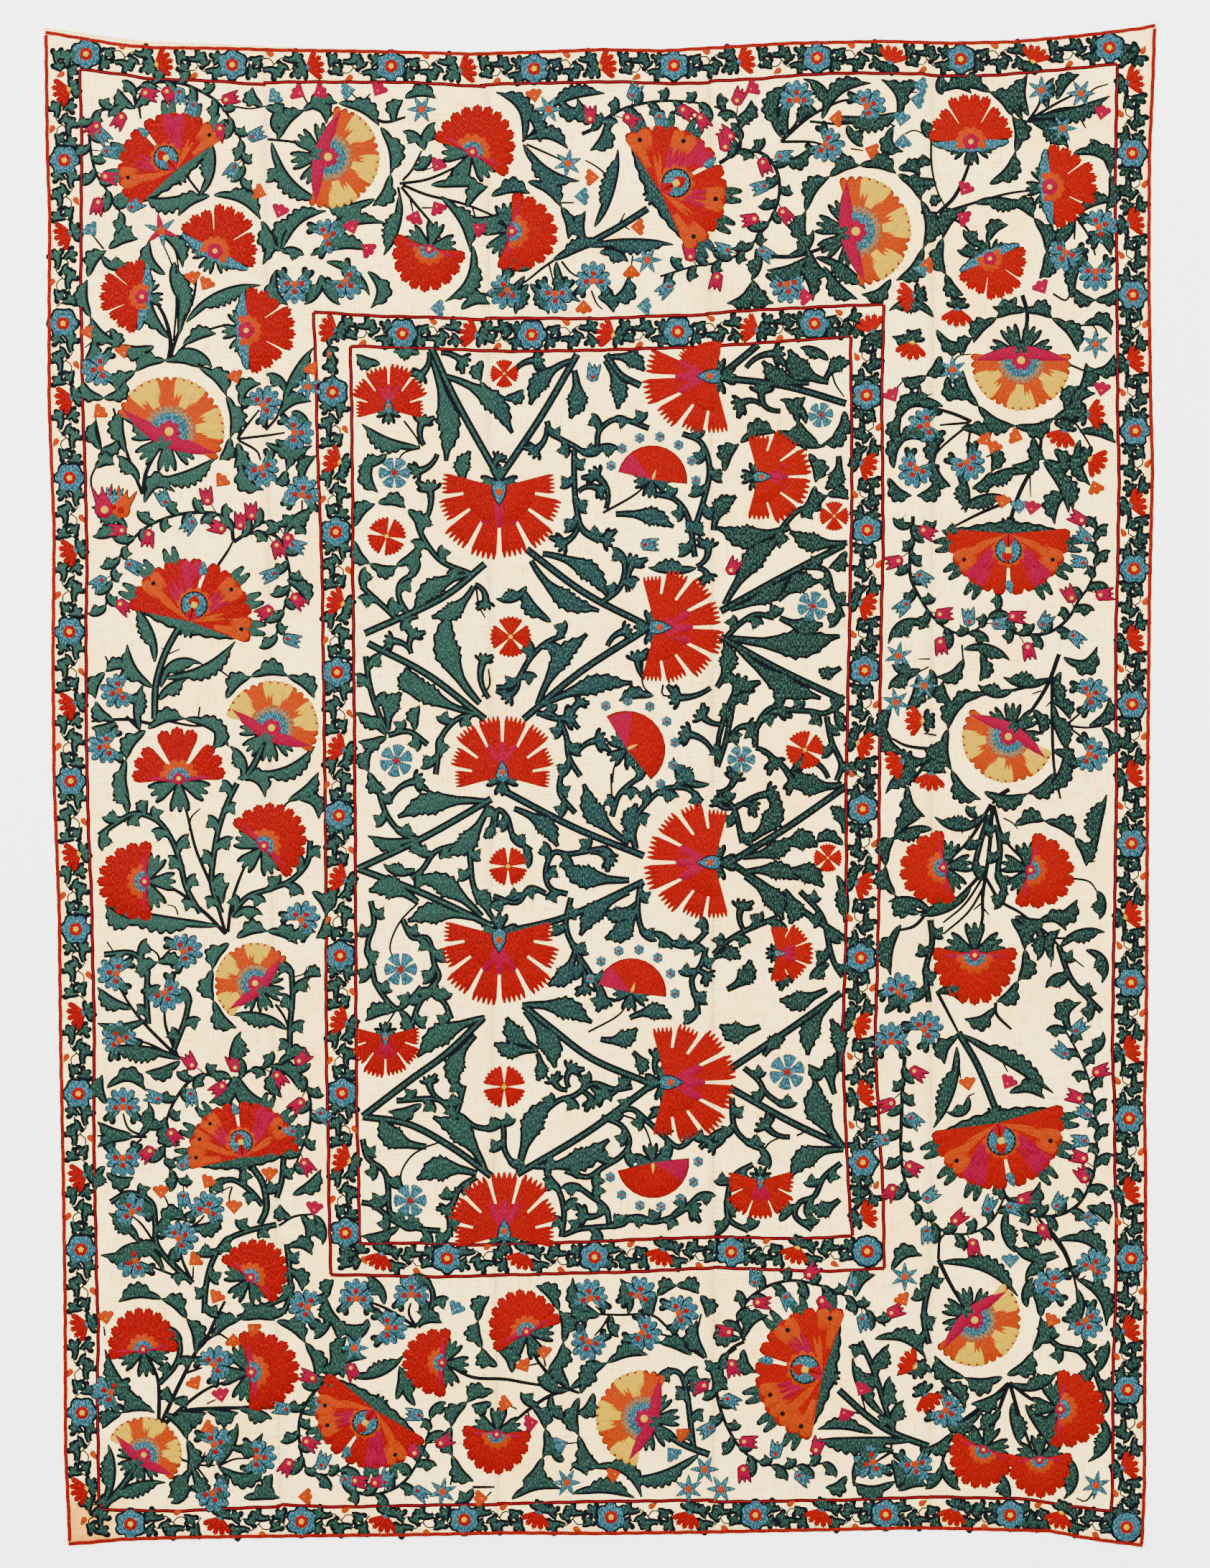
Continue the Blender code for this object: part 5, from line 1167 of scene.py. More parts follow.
def carnation(x, y, aim, reach, lobes, slits):
    """A red flower with a scalloped rim, a magenta band at its foot, a fringed collar and a blue eye.
    Slits part it into that many petals and one more."""
    calyx(*away(x, y, aim, -reach * 0.05), aim + 180, reach * 0.62)
    petals = slits + 1
    share = 200 / petals
    for number in range(petals):
        turn = aim + (number - (petals - 1) / 2) * share
        outlined_fan("red", 0.55, x, y, turn, reach * (1.08 if abs(turn - aim) < 5 else 1.0),
                     share - (4 if slits else 0), lobes=max(2, round(lobes / petals)), depth=0.12,
                     teeth=max(4, round(3 * lobes / petals)), nick=0.035, line=0.09, edge="dark_red",
                     wide=0.84)
    path = across_flower(x, y, aim, reach * 0.72, 0.06, 12)
    arch = np.sin(np.pi * np.linspace(0, 1, len(path)))
    sew("outline", ribbon(path, reach * 0.16 * arch + 0.12, 0.1), LINE_HEIGHT)
    sew("magenta", ribbon(path, reach * 0.16 * arch, 0.16 * arch), 0.7)
    sew_fan("orange", 0.75, x, y, aim, reach * 0.42, 180, lobes=6, depth=0.18)
    sew_fan("blue", 0.9, x, y, aim, reach * 0.26, 190, teeth=8, nick=0.16)
    sew_fan("magenta", 1.0, x, y, aim, reach * 0.14, 360, lobes=5, depth=0.2)
    sew_fan("yellow", 1.1, x, y, aim, reach * 0.06, 360)


def three_lobed(x, y, aim, reach):
    """A red flower of three broad toothed petals parted by wide slits, on a blue scalloped crescent and
    green sepals."""
    calyx(x, y, aim + 180, reach * 0.5, 3, 120)
    sew_fan("red", 0.55, x, y, aim, reach * 0.5, 170)
    path = across_flower(x, y, aim, reach * 0.86, -0.04, 28)
    t = np.linspace(0, 1, len(path))
    hem = 0.15 + reach * 0.17 * np.sin(np.pi * t) ** 0.7 * (0.7 + 0.3 * np.abs(np.sin(np.pi * 7 * t)))
    outlined_ribbon("blue", 0.65, path, hem, 0.1 + 0.12 * reach * np.sin(np.pi * t), LINE * 0.6)
    for turn, length, spread, lobes in ((-60, 0.98, 54, 3), (60, 0.98, 54, 3), (0, 1.1, 58, 4)):
        outlined_fan("red", 0.6, x, y, aim + turn, reach * length, spread, lobes=lobes, depth=0.1,
                     teeth=3 * lobes, nick=0.05, line=0.08, edge="dark_red")
    sew_fan("orange", 0.75, x, y, aim, reach * 0.36, 250, lobes=8, depth=0.16)
    sew_fan("magenta", 0.9, x, y, aim, reach * 0.2, 360, lobes=5, depth=0.15)
    sew_fan("yellow", 1.0, x, y, aim, reach * 0.07, 360)


def palmette(x, y, aim, reach, left, right):
    """A large red flower opening from its foot in two halves, with patches of the silks given in turn
    round each, a medallion between them and a serrated leaf along its foot."""
    foot = away(x, y, aim, -reach * 0.42)
    path = across_flower(*foot, aim, reach * 0.86, -0.02, 42)
    t = np.linspace(0, 1, len(path))
    saw = reach * 0.13 * np.sin(np.pi * t) ** 0.6 * (0.72 + 0.28 * np.abs(np.sin(np.pi * 8 * t)))
    outlined_ribbon("leaf", 0.45, path, saw + 0.2 * np.sin(np.pi * t), 0.1 + 0.3 * np.sin(np.pi * t))
    for way, silks_out in ((1, left), (-1, right)):
        share = 92 / len(silks_out)
        for turn in (80, 56, 32):
            outlined_fan("leaf", 0.4, *foot, aim + way * turn, reach * 1.24, 13, lobes=2, depth=0.12)
        outlined_fan("red", 0.55, *foot, aim + way * 49, reach * 1.04, 91, lobes=7, depth=0.07, teeth=14,
                     nick=0.02, line=0.12, edge="dark_red")
        for number, silk in enumerate(silks_out):
            turn = aim + way * (94 - share * (number + 0.5))
            if silk != "red":       # a patch at the rim, with a flame from it towards the foot
                sew_fan(silk, 0.62, *foot, turn, reach * 1.02, share + 2, lobes=2, depth=0.08, teeth=8,
                        nick=0.02, inner=reach * 0.68, jag=0.12)
                sew_fan(silk, 0.64, *foot, turn + way * 4, reach * 0.8, share * 0.5, inner=reach * 0.4)
            if silk == "orange":
                sew_fan("outline", 0.8, *away(*foot, turn, reach * 0.86), 0, reach * 0.045, 360)
    # Inner petals in magenta, a flame each side of the medallion
    for way in (1, -1):
        sew_fan("magenta", 0.7, *foot, aim + way * 38, reach * 0.74, 26, lobes=3, depth=0.3)
        sew_fan("orange", 0.7, *foot, aim + way * 66, reach * 0.6, 16, lobes=2, depth=0.3)
    heart = np.array(away(*foot, aim, reach * 0.28))
    sew_fan("orange", 0.85, *heart, aim, reach * 0.3, 300, lobes=9, depth=0.18)
    sew_fan("outline", 0.9, *heart, aim, reach * 0.235, 300)
    sew_fan("blue", 1.0, *heart, aim, reach * 0.22, 300, teeth=14, nick=0.1)
    teardrop("red", 1.1, *heart - reach * 0.02, aim, reach * 0.2, reach * 0.1)
    sew_fan("yellow", 1.2, *heart, aim, reach * 0.07, 360, lobes=4, depth=0.3)
    teardrop("blue", 0.85, *away(x, y, aim, reach * 0.36), aim + 12, reach * 0.24, reach * 0.07, 0.12)
    calyx(*away(*foot, aim, -reach * 0.08), aim + 180, reach * 0.17, 3, 200)


DISCS = (  # middle, direction, radius, sectors
    (-42.7, 99, -15, 8, 7), (40.3, 87.3, 10, 8.6, 7), (-67.7, 55.8, 65, 8.6, 7),
    (-51.6, 9.2, 65, 7.3, 6), (-54.2, -31, 135, 6.3, 6), (66.3, 67, -90, 7.8, 7),
    (64.3, 7.8, -120, 7.2, 6), (59, -84, -48, 7.2, 6), (-71.7, -105.2, 55, 5.9, 6),
    (7, -99.5, 160, 7.5, 6))
for x, y, aim, reach, count in DISCS:
    disc(x, y, aim, reach, count)
finish_group("border_discs")

THREE_LOBED = (  # foot, direction, radius
    (-60.5, 84.2, 62, 6.9), (-72, 77, 172, 6.2), (-55.6, 71.7, 3, 7.2), (58.4, 101.4, 92, 7.0),
    (70.8, 94.3, 5, 7.0), (61.4, 83, -66, 6.0))
for x, y, aim, reach in THREE_LOBED:
    three_lobed(x, y, aim, reach)
CARNATIONS = (  # foot, direction, radius, lobes, slits
    (-20,99.8, 62,7.2, 12,0), (-13.8,87.3, -12,6.9, 11,0), (-26.8,84.5, -105,6.4, 10,0),
    (-66.2,1.2, 92,7.6, 9,2), (-71.6,-15, 180,7, 11,0), (-52.8,-9.4, 45,6.9, 12,0),
    (54,-12.8, 190,6.5, 9,0), (67.8,-13.2, -15,6.6, 9,0), (59,-26.6, -90,7.4, 11,0),
    (-54.9,-77.3, 50,6.1, 12,0), (-71.8,-88.6, 97,6.2, 11,0), (-54.8,-92.2, 8,7.2, 11,0),
    (-11.5,-85.8, 115,6.4, 11,0), (-24.8,-90.7, 175,6, 10,0), (-16.2,-102, -95,6, 10,0),
    (72.5,-98, -6,6.8, 10,0), (60.4,-104.4, -112,5.9, 10,0), (69.2,-106, -88,5.7, 9,0))
for x, y, aim, reach, lobes, slits in CARNATIONS:
    carnation(x, y, aim, reach, lobes, slits)
SMALL_CARNATIONS = (  # middle, direction
    (48.5, 77, 190), (49, 68.8, -100), (56.2, 74, -95), (77.8, 58.5, 0), (72.7, 55, -110),
    (78, 51, -30), (49.8, 10.3, 180), (46.7, 3.5, 200), (52, 1, -100), (48.8, -90.8, 150),
    (51.7, -96.6, -60))
for x, y, aim in SMALL_CARNATIONS:
    small_carnation(x, y, aim, 2.7)
finish_group("border_carnations")

R, M, O = "red", "magenta", "orange"        # silks, by their first letter
PALMETTES = (  # middle, direction, radius, the silks of its left and right half
    (-69, 99.8, 129, 8.9, (R, O, R, R), (O, R, M, R)),
    (13.3, 95.6, 29, 10.2, (O, R, O, M), (O, R, O, R)),
    (-63.4, 29.8, 74, 9.6, (R, O, R, M), (O, R, O, R)),
    (64.3, 35.8, -90, 9.4, (R, O, M, R), (R, O, M, R)),
    (-56.6, -54.8, 98, 8.6, (O, O, O, R), (R, O, M, R)),
    (63.5, -57.2, -78, 10.2, (R, O, M, R), (R, O, M, R)),
    (-37.6, -101.2, -125, 9.1, (R, O, M, R), (R, O, O, R)),
    (30.9, -91.4, 165, 10.3, (O, O, O, R), (O, R, O, R)))
for x, y, aim, reach, left, right in PALMETTES:
    palmette(x, y, aim, reach, left, right)
finish_group("border_palmettes")

# --- Wide border: small flowers and buds -----------------------------------------------------------
# Blue clover flowers with red hearts, star flowers, and orange and magenta bells on the stems between the
# large flowers, in couched silk, most of them with a dark line round them.
CLOVER = 2.75               # cm, from its middle to its rim


def clover(x, y, aim):
    """Three notched blue petals with red hearts round an orange middle, and green sepals."""
    for side in (-1, 1):
        way = aim + 180 + side * 50
        palm(*away(x, y, way, 0.8), *away(x, y, way, CLOVER * 0.95), 0.15 * side, CLOVER * 0.32, lobes=2,
             spread=90, stalk=0.3)
    for turn, length in ((-96, 1), (0, 1.12), (96, 1)):
        outlined_fan("blue", 0.5, x, y, aim + turn, CLOVER * length, 88, lobes=3, depth=0.2, line=0.14)
        sew_fan("red", 0.7, *away(x, y, aim + turn, CLOVER * 0.42), aim, CLOVER * 0.2, 360, lobes=4,
                depth=0.3)
    sew_fan("orange", 0.75, x, y, aim, CLOVER * 0.24, 360, lobes=4, depth=0.3)


def star(x, y, aim, reach=2.6, petals=("blue",)):
    """A star of thin pointed petals round an orange middle."""
    for number in range(6):
        teardrop(petals[number % len(petals)], 0.55, x, y, aim + number * 60, reach, 0.42, 0.09)
    sew_fan("orange", 0.8, x, y, aim, reach * 0.3, 360, lobes=5, depth=0.25)


def bell(x, y, aim, silk, reach):
    """A half bell with a scalloped rim and a small yellow spot."""
    outlined_fan(silk, 0.55, *away(x, y, aim, -reach * 0.5), aim, reach, 84, lobes=3, depth=0.12, line=0.07,
                 edge="outline" if silk == "blue" else "dark_red")
    sew_fan("yellow", 0.8, *away(x, y, aim, -reach * 0.1), 0, reach * 0.09, 360)


CLOVERS = (  # middle, the direction it opens
    (-43, 86.5, 20), (-48, 79, -90), (-40, 79.5, -40), (-78.5, 65.7, 190), (-53, 60, 40),
    (-48, 55.6, 0), (-53.2, 50, -70), (-46.8, 45.8, 80), (-75.5, 15, 200), (-77.5, 6.3, 190),
    (-47, -21, 40), (-76, -29.5, 170), (-68.5, -32.5, -60), (-65.5, -26, 20), (31, 108, 90),
    (42, 107, 20), (35.5, 101, -30), (78.5, 88, 20), (73.3, 84, 240), (78, 81, -90), (51.5, 56.8, 190),
    (49.8, 50, 240), (57.8, 51, -60), (77, 14.3, 20), (77, 5, -20), (-14.5, 78, 220), (-7, 77.5, -90),
    (-1, 79.5, 90), (-75.5, -40, 120), (-75, -50.5, 90), (-75, -58.5, -90), (-73.5, -67, 120),
    (-66.2, -71.2, 30), (-61.8, -66.8, 70), (-73, -74.7, 200), (45.9, -40.2, 90), (51, -38.3, 40),
    (-45.9, -82, 160), (-38.3, -80.6, 90), (-33.3, -85.2, 0), (-76.9, -95.4, 160), (-60.7, -103.6, 20),
    (-53.9, -105.6, 0), (-60.9, -111.2, -70), (-29.6, -80, 90), (-1.5, -80.6, 100), (6.1, -80.2, 70),
    (12.5, -82.9, 20), (6.7, -86, -30), (-1.7, -87.4, 250), (77.5, -75.8, 60), (71.3, -78.5, 170),
    (76.4, -84.1, -60), (43, -106.3, 200), (49.6, -106.7, -80), (54.4, -98.2, -30), (-60.7, -91, 40),
    (29.5, 79, -80), (47, -32.4, 60))
for x, y, aim in CLOVERS:
    clover(x, y, aim)
STARS = (  # middle, direction
    (69.5, 109.5, 90), (75.7, 109, 60), (72.8, 103.5, 0), (78, 69.5, 90), (55.5, 65.5, 90),
    (-45.9, 62.8, 90), (48, -77.2, 30), (-5.2, -109.6, 0), (-24.7, -111, 20), (16.5, -107.5, 0),
    (14, -110.6, 30), (19.1, -110.6, 0), (78.1, -110, 20), (-8, 106.5, 60), (-5, 98, 20),
    (7.5, 82.8, 0), (-28, 106.5, 0), (47, 20.5, 20), (51, 15.8, 0), (46.6, 13.2, 40),
    (-38.6, -88.4, 60))
for x, y, aim in STARS:
    star(x, y, aim, 2.3)
for x, y, aim, silk, reach in ((-78, 44.6, 97, "magenta", 5.6), (-75, 44.4, 72, "orange", 5.2),
                               (-76.4, 44.8, 86, "blue", 4.4)):
    tulip_bud(x, y, aim, silk, reach)
star(-69, 87.4, 100, 2.8, ("magenta", "blue"))
ORANGE_BELLS = (  # middle, direction
    (-64, 80, 100), (-61.9, 79, 60), (-80.3, 71.4, 110), (-74.9, 68.4, 100), (-57.3, 64.4, 110),
    (-45.3, 65.6, 120), (-78.7, 58.8, 40), (-59.5, 48, 50), (-69, -63.8, 90), (-61.6, -62.3, 60),
    (-51.9, -61, 90), (-57.5, -66.2, 90), (-63.7, -74.6, 40), (-77.7, -83.6, 100), (-60.3, -80.4, 60),
    (-54.5, -85.4, -40), (-57.6, -87.2, -90), (-63.7, -94, 120), (-61.7, -101.1, 20),
    (-46.3, -111.8, 0), (-11.9, -91.2, 120), (-8.8, -89.1, 90), (-14.8, -97.2, 170),
    (12.9, -101.9, -40), (2.2, -108.3, 200), (-18.7, -112.1, 180), (57.9, -46.8, 100),
    (47.7, -80.8, 120), (71.1, -84.1, 60), (-53.5, 93.4, 160), (-10.3, 108.7, 100), (-1.2, 95.8, 180),
    (6, 88, 0), (5, 81, -90), (-2.5, 75.4, -90), (37.2, 105, 0), (42.8, 100, -20), (62, 53.3, 70),
    (60.7, 54.5, 130), (63.4, 44.8, 80), (65.5, 55, 160), (78, 47, -70), (51.5, 82, 0))
for x, y, aim in ORANGE_BELLS:
    bell(x, y, aim, "orange", 2.2)
MAGENTA_BELLS = (  # middle, direction
    (64.3, -46.6, 60), (-44.9, -66.4, 80), (-59.6, -95.8, 100), (-10.8, -100.2, 190),
    (41.3, -94.9, 60), (38.6, -98.8, -60), (-25.5, 97.7, 60), (-29, 89.5, -110), (-25.5, 91, -60),
    (-19, 87.8, -30), (-50.3, 90.5, 70), (57.5, 94, 60), (57.2, 89.5, -30), (69.5, 78.5, 120),
    (79, 62.5, 80), (68, 43.8, 80), (46, 61.5, 120), (-39, 88, 110), (-36.5, 84.5, -40), (79, 106, 80),
    (24, 109.8, 30), (32.5, 77, 180), (-47.4, 109.1, 150), (-44, 109.2, 30),
    (-34.8, 109.6, 60))
for x, y, aim in MAGENTA_BELLS:
    bell(x, y, aim, "magenta", 2.3)
BLUE_BELLS = (  # middle, direction
    (-22.6, -82.2, 60), (-6.1, -103.6, 200), (11.5, -105, -50), (64.6, -74.7, 90), (-2.8, 92.8, 0),
    (7, 75.5, 0), (50.5, 110.2, 0), (50, 108, -10), (47.5, 105, 80), (47.7, 101.5, -90),
    (-80, 87.5, 130), (-25.5, 75.2, 0), (-49, 45.2, 20), (66, 44, 90), (50.5, 81.5, 0),
    (-39.6, 109.4, 190), (-51.2, 108.4, 40))
for x, y, aim in BLUE_BELLS:
    bell(x, y, aim, "blue", 2.3)
finish_group("border_small_flowers")

# --- Field: stems and leaves -----------------------------------------------------------------------
# Slender green leaves with saw teeth and drawn-out tips grow from the canes of the middle field, and
# green stems with palm leaves curl between them. They are couched silk with a black line round each.
def toothed(x0, y0, x1, y1, bend, wide):
    """A leaf from its slender foot, widening evenly to its saw-toothed part, to a thin drawn-out tip."""
    path = bow(x0, y0, x1, y1, bend, 33)
    t = np.linspace(0, 1, len(path))
    path = path + np.sin(np.clip((t - 0.72) / 0.28, 0, 1) * 1.5)[:, None] * np.sign(bend) * wide * 0.5 * (
        np.array([y1 - y0, x0 - x1]) / np.hypot(x1 - x0, y1 - y0))
    body = np.interp(t, (0, 0.3, 0.6, 0.8, 0.9, 1), (0.1, 0.25, 0.85, 0.5, 0.16, 0.0)) * wide * 0.9
    teeth = np.interp(t, (0.42, 0.55, 0.86, 0.9), (0, 0.62, 0.45, 0))
    right, left = (body + teeth * ((t * 11 + lag) % 1) for lag in (0.0, 0.4))
    outlined_ribbon("leaf", LEAF_HEIGHT, path, right, left)


def frond(x0, y0, x1, y1, bend, crown):
    """A palm leaf of five lobes with a thin tip that leans over."""
    foot, aim = palm(x0, y0, x1, y1, bend, crown, 5, 140)
    teardrop("leaf", LEAF_HEIGHT, *foot, aim - 40 * np.sign(bend), crown * 2.2, crown * 0.3, LINE)


TOOTHED = (  # foot, tip, bend, width
    (-26.3,67, -23.2,51.3, 0.04,1.9), (-24.3,64.5, -13.2,56.2, 0.1,1.7), (-4.5,67, -11.5,60.5, -0.1,1.5),
    (-4,65.5, -3.8,57.8, 0.05,1.6), (0.8,67, 3.5,59.5, 0.08,1.3), (1.5,67.5, 7.3,66, 0.1,1.3),
    (2.5,42.8, 11.8,41.5, 0.05,1.4), (-19.5,33.5, -29.8,28, -0.1,1.6), (-19.8,31.5, -26,26, 0.1,1.4),
    (-9,36.6, 1.8,30.5, 0.1,1.6), (-10.8,35.5, -0.5,27, -0.1,1.5), (-9.5,12.5, 5,17, 0.05,1.5),
    (-9.8,12.8, -2.6,24.4, 0.05,1.5), (-18.8,13, -25,27.5, 0.1,2.2), (33,63.5, 25.3,66.2, 0.1,1.5),
    (37.6,52, 36.2,46.5, 0.1,1.3), (-19.8,11.5, -31,18, 0.08,1.6), (17.9,40.2, 20.9,46, 0.1,1.4),
    (30,40.8, 18.6,39.6, 0.08,2), (18.4,15.5, 20.4,22.6, -0.1,1.4), (-21,46.6, -21,52.8, 0.1,1.2),
    (-3.8,-25.5, -7.5,-31.8, 0.1,1.5), (-9.6,-41.5, -16.7,-41.2, 0.03,1.3), (6,-18.8, 1.5,-24.6, 0.08,1.7),
    (5.8,-18.4, 0.8,-20.6, 0.1,1.2), (19.6,28.5, 27.8,40, 0.03,1.8), (20.5,27.8, 30,32, -0.03,1.4),
    (20.5,23.3, 37.8,22.4, -0.03,2.4), (21.5,22, 34.3,13, -0.05,1.9), (-18.1,-2.4, -31.9,-3.9, -0.05,1.9),
    (-13.5,-3.5, -6.1,-8.9, 0.08,1.5), (4.7,-9, -3.2,-0.2, 0.08,1.8), (-17.6,-3.3, -23.6,-11.6, 0.06,1.6),
    (-16.8,-5, -17.9,-8.3, 0.1,0.6), (4.7,-14.8, -6.5,-13.2, 0.04,1.9), (4.7,-16.7, -3.6,-22.9, -0.08,1.6),
    (-18.5,-20.5, -28.2,-13.2, -0.04,1.8), (-19.7,-20.8, -30.2,-20.3, -0.06,1.8),
    (-17,-20.5, -17.9,-16.7, 0.1,1), (5.7,-9.9, 5,-2.7, 0.05,1.5), (18,-27, 22.2,-26.5, 0.1,1.1),
    (20,-32, 24.3,-27.8, -0.1,1.5), (25.3,-37.8, 18.9,-38.6, 0.08,1.8), (22.8,-9, 28.8,-1.8, -0.1,1.7),
    (22.5,-11.2, 31,-8.6, -0.05,1.4), (22.4,-13.6, 31.5,-13.9, 0.06,1.4),
    (22.8,-14.2, 29.5,-20.5, 0.06,1.7), (-12.2,-34.5, -1,-36.3, 0.06,1.8),
    (-11.8,-35.3, -6.1,-43.8, 0.04,2), (-18,-36.4, -29.2,-41.7, -0.05,1.9),
    (4.7,-36.5, 11.3,-35.8, 0.1,1.3), (-9.6,-41.5, -15.2,-37, 0.06,1.6), (-9.8,-42, -9.3,-46.4, 0.08,0.9),
    (-19.5,-39.2, -23.6,-47.6, -0.1,1.6), (-17.9,-60.7, -25.5,-51.4, -0.08,1.9),
    (-19.3,-61, -28.8,-60.8, -0.08,2.1), (-27.2,-56.7, -35.2,-52.8, 0.12,1.9),
    (-12.7,-60.5, -8.1,-48.5, 0.05,1.9), (-10.6,-59.8, 1.8,-56.5, -0.08,1.9),
    (0.1,-39.8, 6.1,-38.8, -0.1,1.4), (5.2,-41.8, 7,-45.2, 0.1,1), (25.8,-42.5, 28.8,-39.2, 0.05,1.1),
    (-33.3,8.8, -32,15, 0.06,1.5), (-28,13.5, -31,18.3, 0.1,1.4), (-28.6,-18.3, -36,-15.5, -0.1,2),
    (36.1,63.6, 29.2,67.9, 0.1,2), (35.5,64, 39,67.2, 0.1,1.2), (39,38.3, 29.8,39.3, 0.06,1.5),
    (28,29.2, 34,33, 0.08,1.8), (28.3,26.5, 35,24.7, -0.05,1.5), (38,18.7, 34.5,17.8, 0.1,0.9),
    (38.2,0.3, 30,1.5, 0.1,1.8), (38.5,-7.5, 36.8,-3, -0.1,1), (28.3,-9.8, 34.2,-8.5, 0.1,1.8),
    (28.3,-13.5, 35.5,-15, 0.1,1.7), (29,-16.3, 30.8,-21.5, 0.1,1.6), (35.8,-32, 28.5,-34.5, 0.04,1.6),
    (36.5,-34, 32,-42, -0.08,1.6), (38.5,-57, 32.8,-46.5, 0.06,2.3), (38.4,-57.2, 29.5,-60.7, -0.12,1.8),
    (37.8,-65, 33.5,-67, 0.08,1.3), (37,-48.5, 36.6,-42, 0.08,1.3), (37.8,-45, 37,-36.5, -0.05,1.2))
for leaf in TOOTHED:
    toothed(*leaf)
FRONDS = (  # foot, tip, bend, crown
    (23,65.8, 28,68, 0.15,1.3), (28.5,59, 25.5,62.5, 0.3,1.3), (25.5,60, 22,60, -0.2,1.2),
    (15.2,34.5, 17,38, -0.2,1.1), (15.4,34.3, 17,32.8, 0.2,0.9), (4.5,30.5, 5.3,35.3, 0.1,1.3),
    (7,17, 6,20.3, 0.1,1.2), (1.2,22, 4.2,24.4, 0.15,1), (17.5,15.5, 12,14, 0.1,1.3),
    (18.4,3.5, 22.3,16, 0.08,1.7), (20.8,8, 23.8,9.3, 0.2,0.9), (24.3,6.5, 28.5,12, 0.2,1.2),
    (19.8,9.8, 16,11.2, 0.15,1.1), (17.9,5.2, 13.6,8.2, -0.15,1.3), (24.5,6, 27.5,3.6, 0.15,1.2),
    (25.5,5.5, 30.5,0.5, 0.1,1.2), (18.3,-1, 21.3,1.5, -0.2,1.1), (21,-4, 27,-1.2, 0.1,1.3),
    (36,1.2, 31.5,4, -0.2,1.2), (-27.6,53.6, -27.8,57.5, 0.15,1.1), (-25.5,52.3, -28.8,49.5, 0.15,1),
    (-27.3,42, -26.8,47, -0.1,1.3), (-26.8,68.4, -28.3,64.6, 0.15,1), (-25,68.2, -21.5,66.8, 0.1,1.1),
    (-13.6,65, -9.8,67, 0.15,1.2), (-8.3,56.5, -10.3,52.8, 0.15,1.1),
    (-16.2,48.6, -15.8,51.8, 0.2,0.7), (1,43.6, -0.8,49, -0.2,1.2), (-3.4,46.3, 0.2,46.6, 0.2,0.9),
    (-3.2,41.5, -6,38.2, 0.15,1.2), (-3.2,41.5, 1.2,38.8, -0.15,1.2), (-19.6,31.8, -18,28.6, 0.2,0.9),
    (-29.6,20.8, -29.3,24, 0.15,1.1), (-29.6,21.2, -33,22.8, -0.15,1),
    (-17.4,13.8, -18.2,20, 0.15,0.9), (-12.8,17.3, -14.5,14.2, 0.2,1.1),
    (-9.8,11.6, -4.8,10.8, -0.1,1.4), (-3.2,9, -3,13.3, 0.3,0.8), (-3.6,5, 0,7.2, 0.15,1.3),
    (-33,-2.3, -28.6,0.8, 0.15,1.2), (-25,-49.4, -26.8,-46.4, 0.15,0.9), (-3.5,-27, -2.3,-32, 0.1,1),
    (-1.8,-29.5, 0.8,-34, 0.1,1.1), (-4.8,-47.5, -4.3,-44.4, 0.2,1.1), (-5,-47.8, -7.2,-46.2, 0.2,0.9),
    (-3.3,-48, -1.2,-49.8, 0.2,1), (-22.5,-63, -24.2,-66.8, 0.15,0.9),
    (1.2,-66.5, -2.6,-67.6, 0.15,1.2), (22.8,-22.8, 22.4,-18.8, 0.15,1.1),
    (14.4,-29, 17,-30, 0.15,0.9), (26.5,-29, 29.2,-30.6, 0.2,1), (9,-45.4, 9.2,-42.4, 0.15,1.1),
    (9.2,-48, 9.9,-51.2, 0.15,1.3), (30,-55.2, 26,-53.2, 0.15,1.3), (11.2,-68, 14.8,-66.6, 0.2,1.3),
    (19.8,-54.3, 17.6,-56.6, 0.2,0.9), (-1.5,-10.4, 1.6,-11.8, 0.15,1),
    (20.8,-3.4, 18.6,-2.4, 0.2,0.9), (21,-3.6, 24.2,-3.2, 0.2,1), (3.4,-46.9, 0,-48.8, 0.15,1.1))
for x0, y0, x1, y1, bend, crown in FRONDS:
    frond(x0, y0, x1, y1, bend, crown)
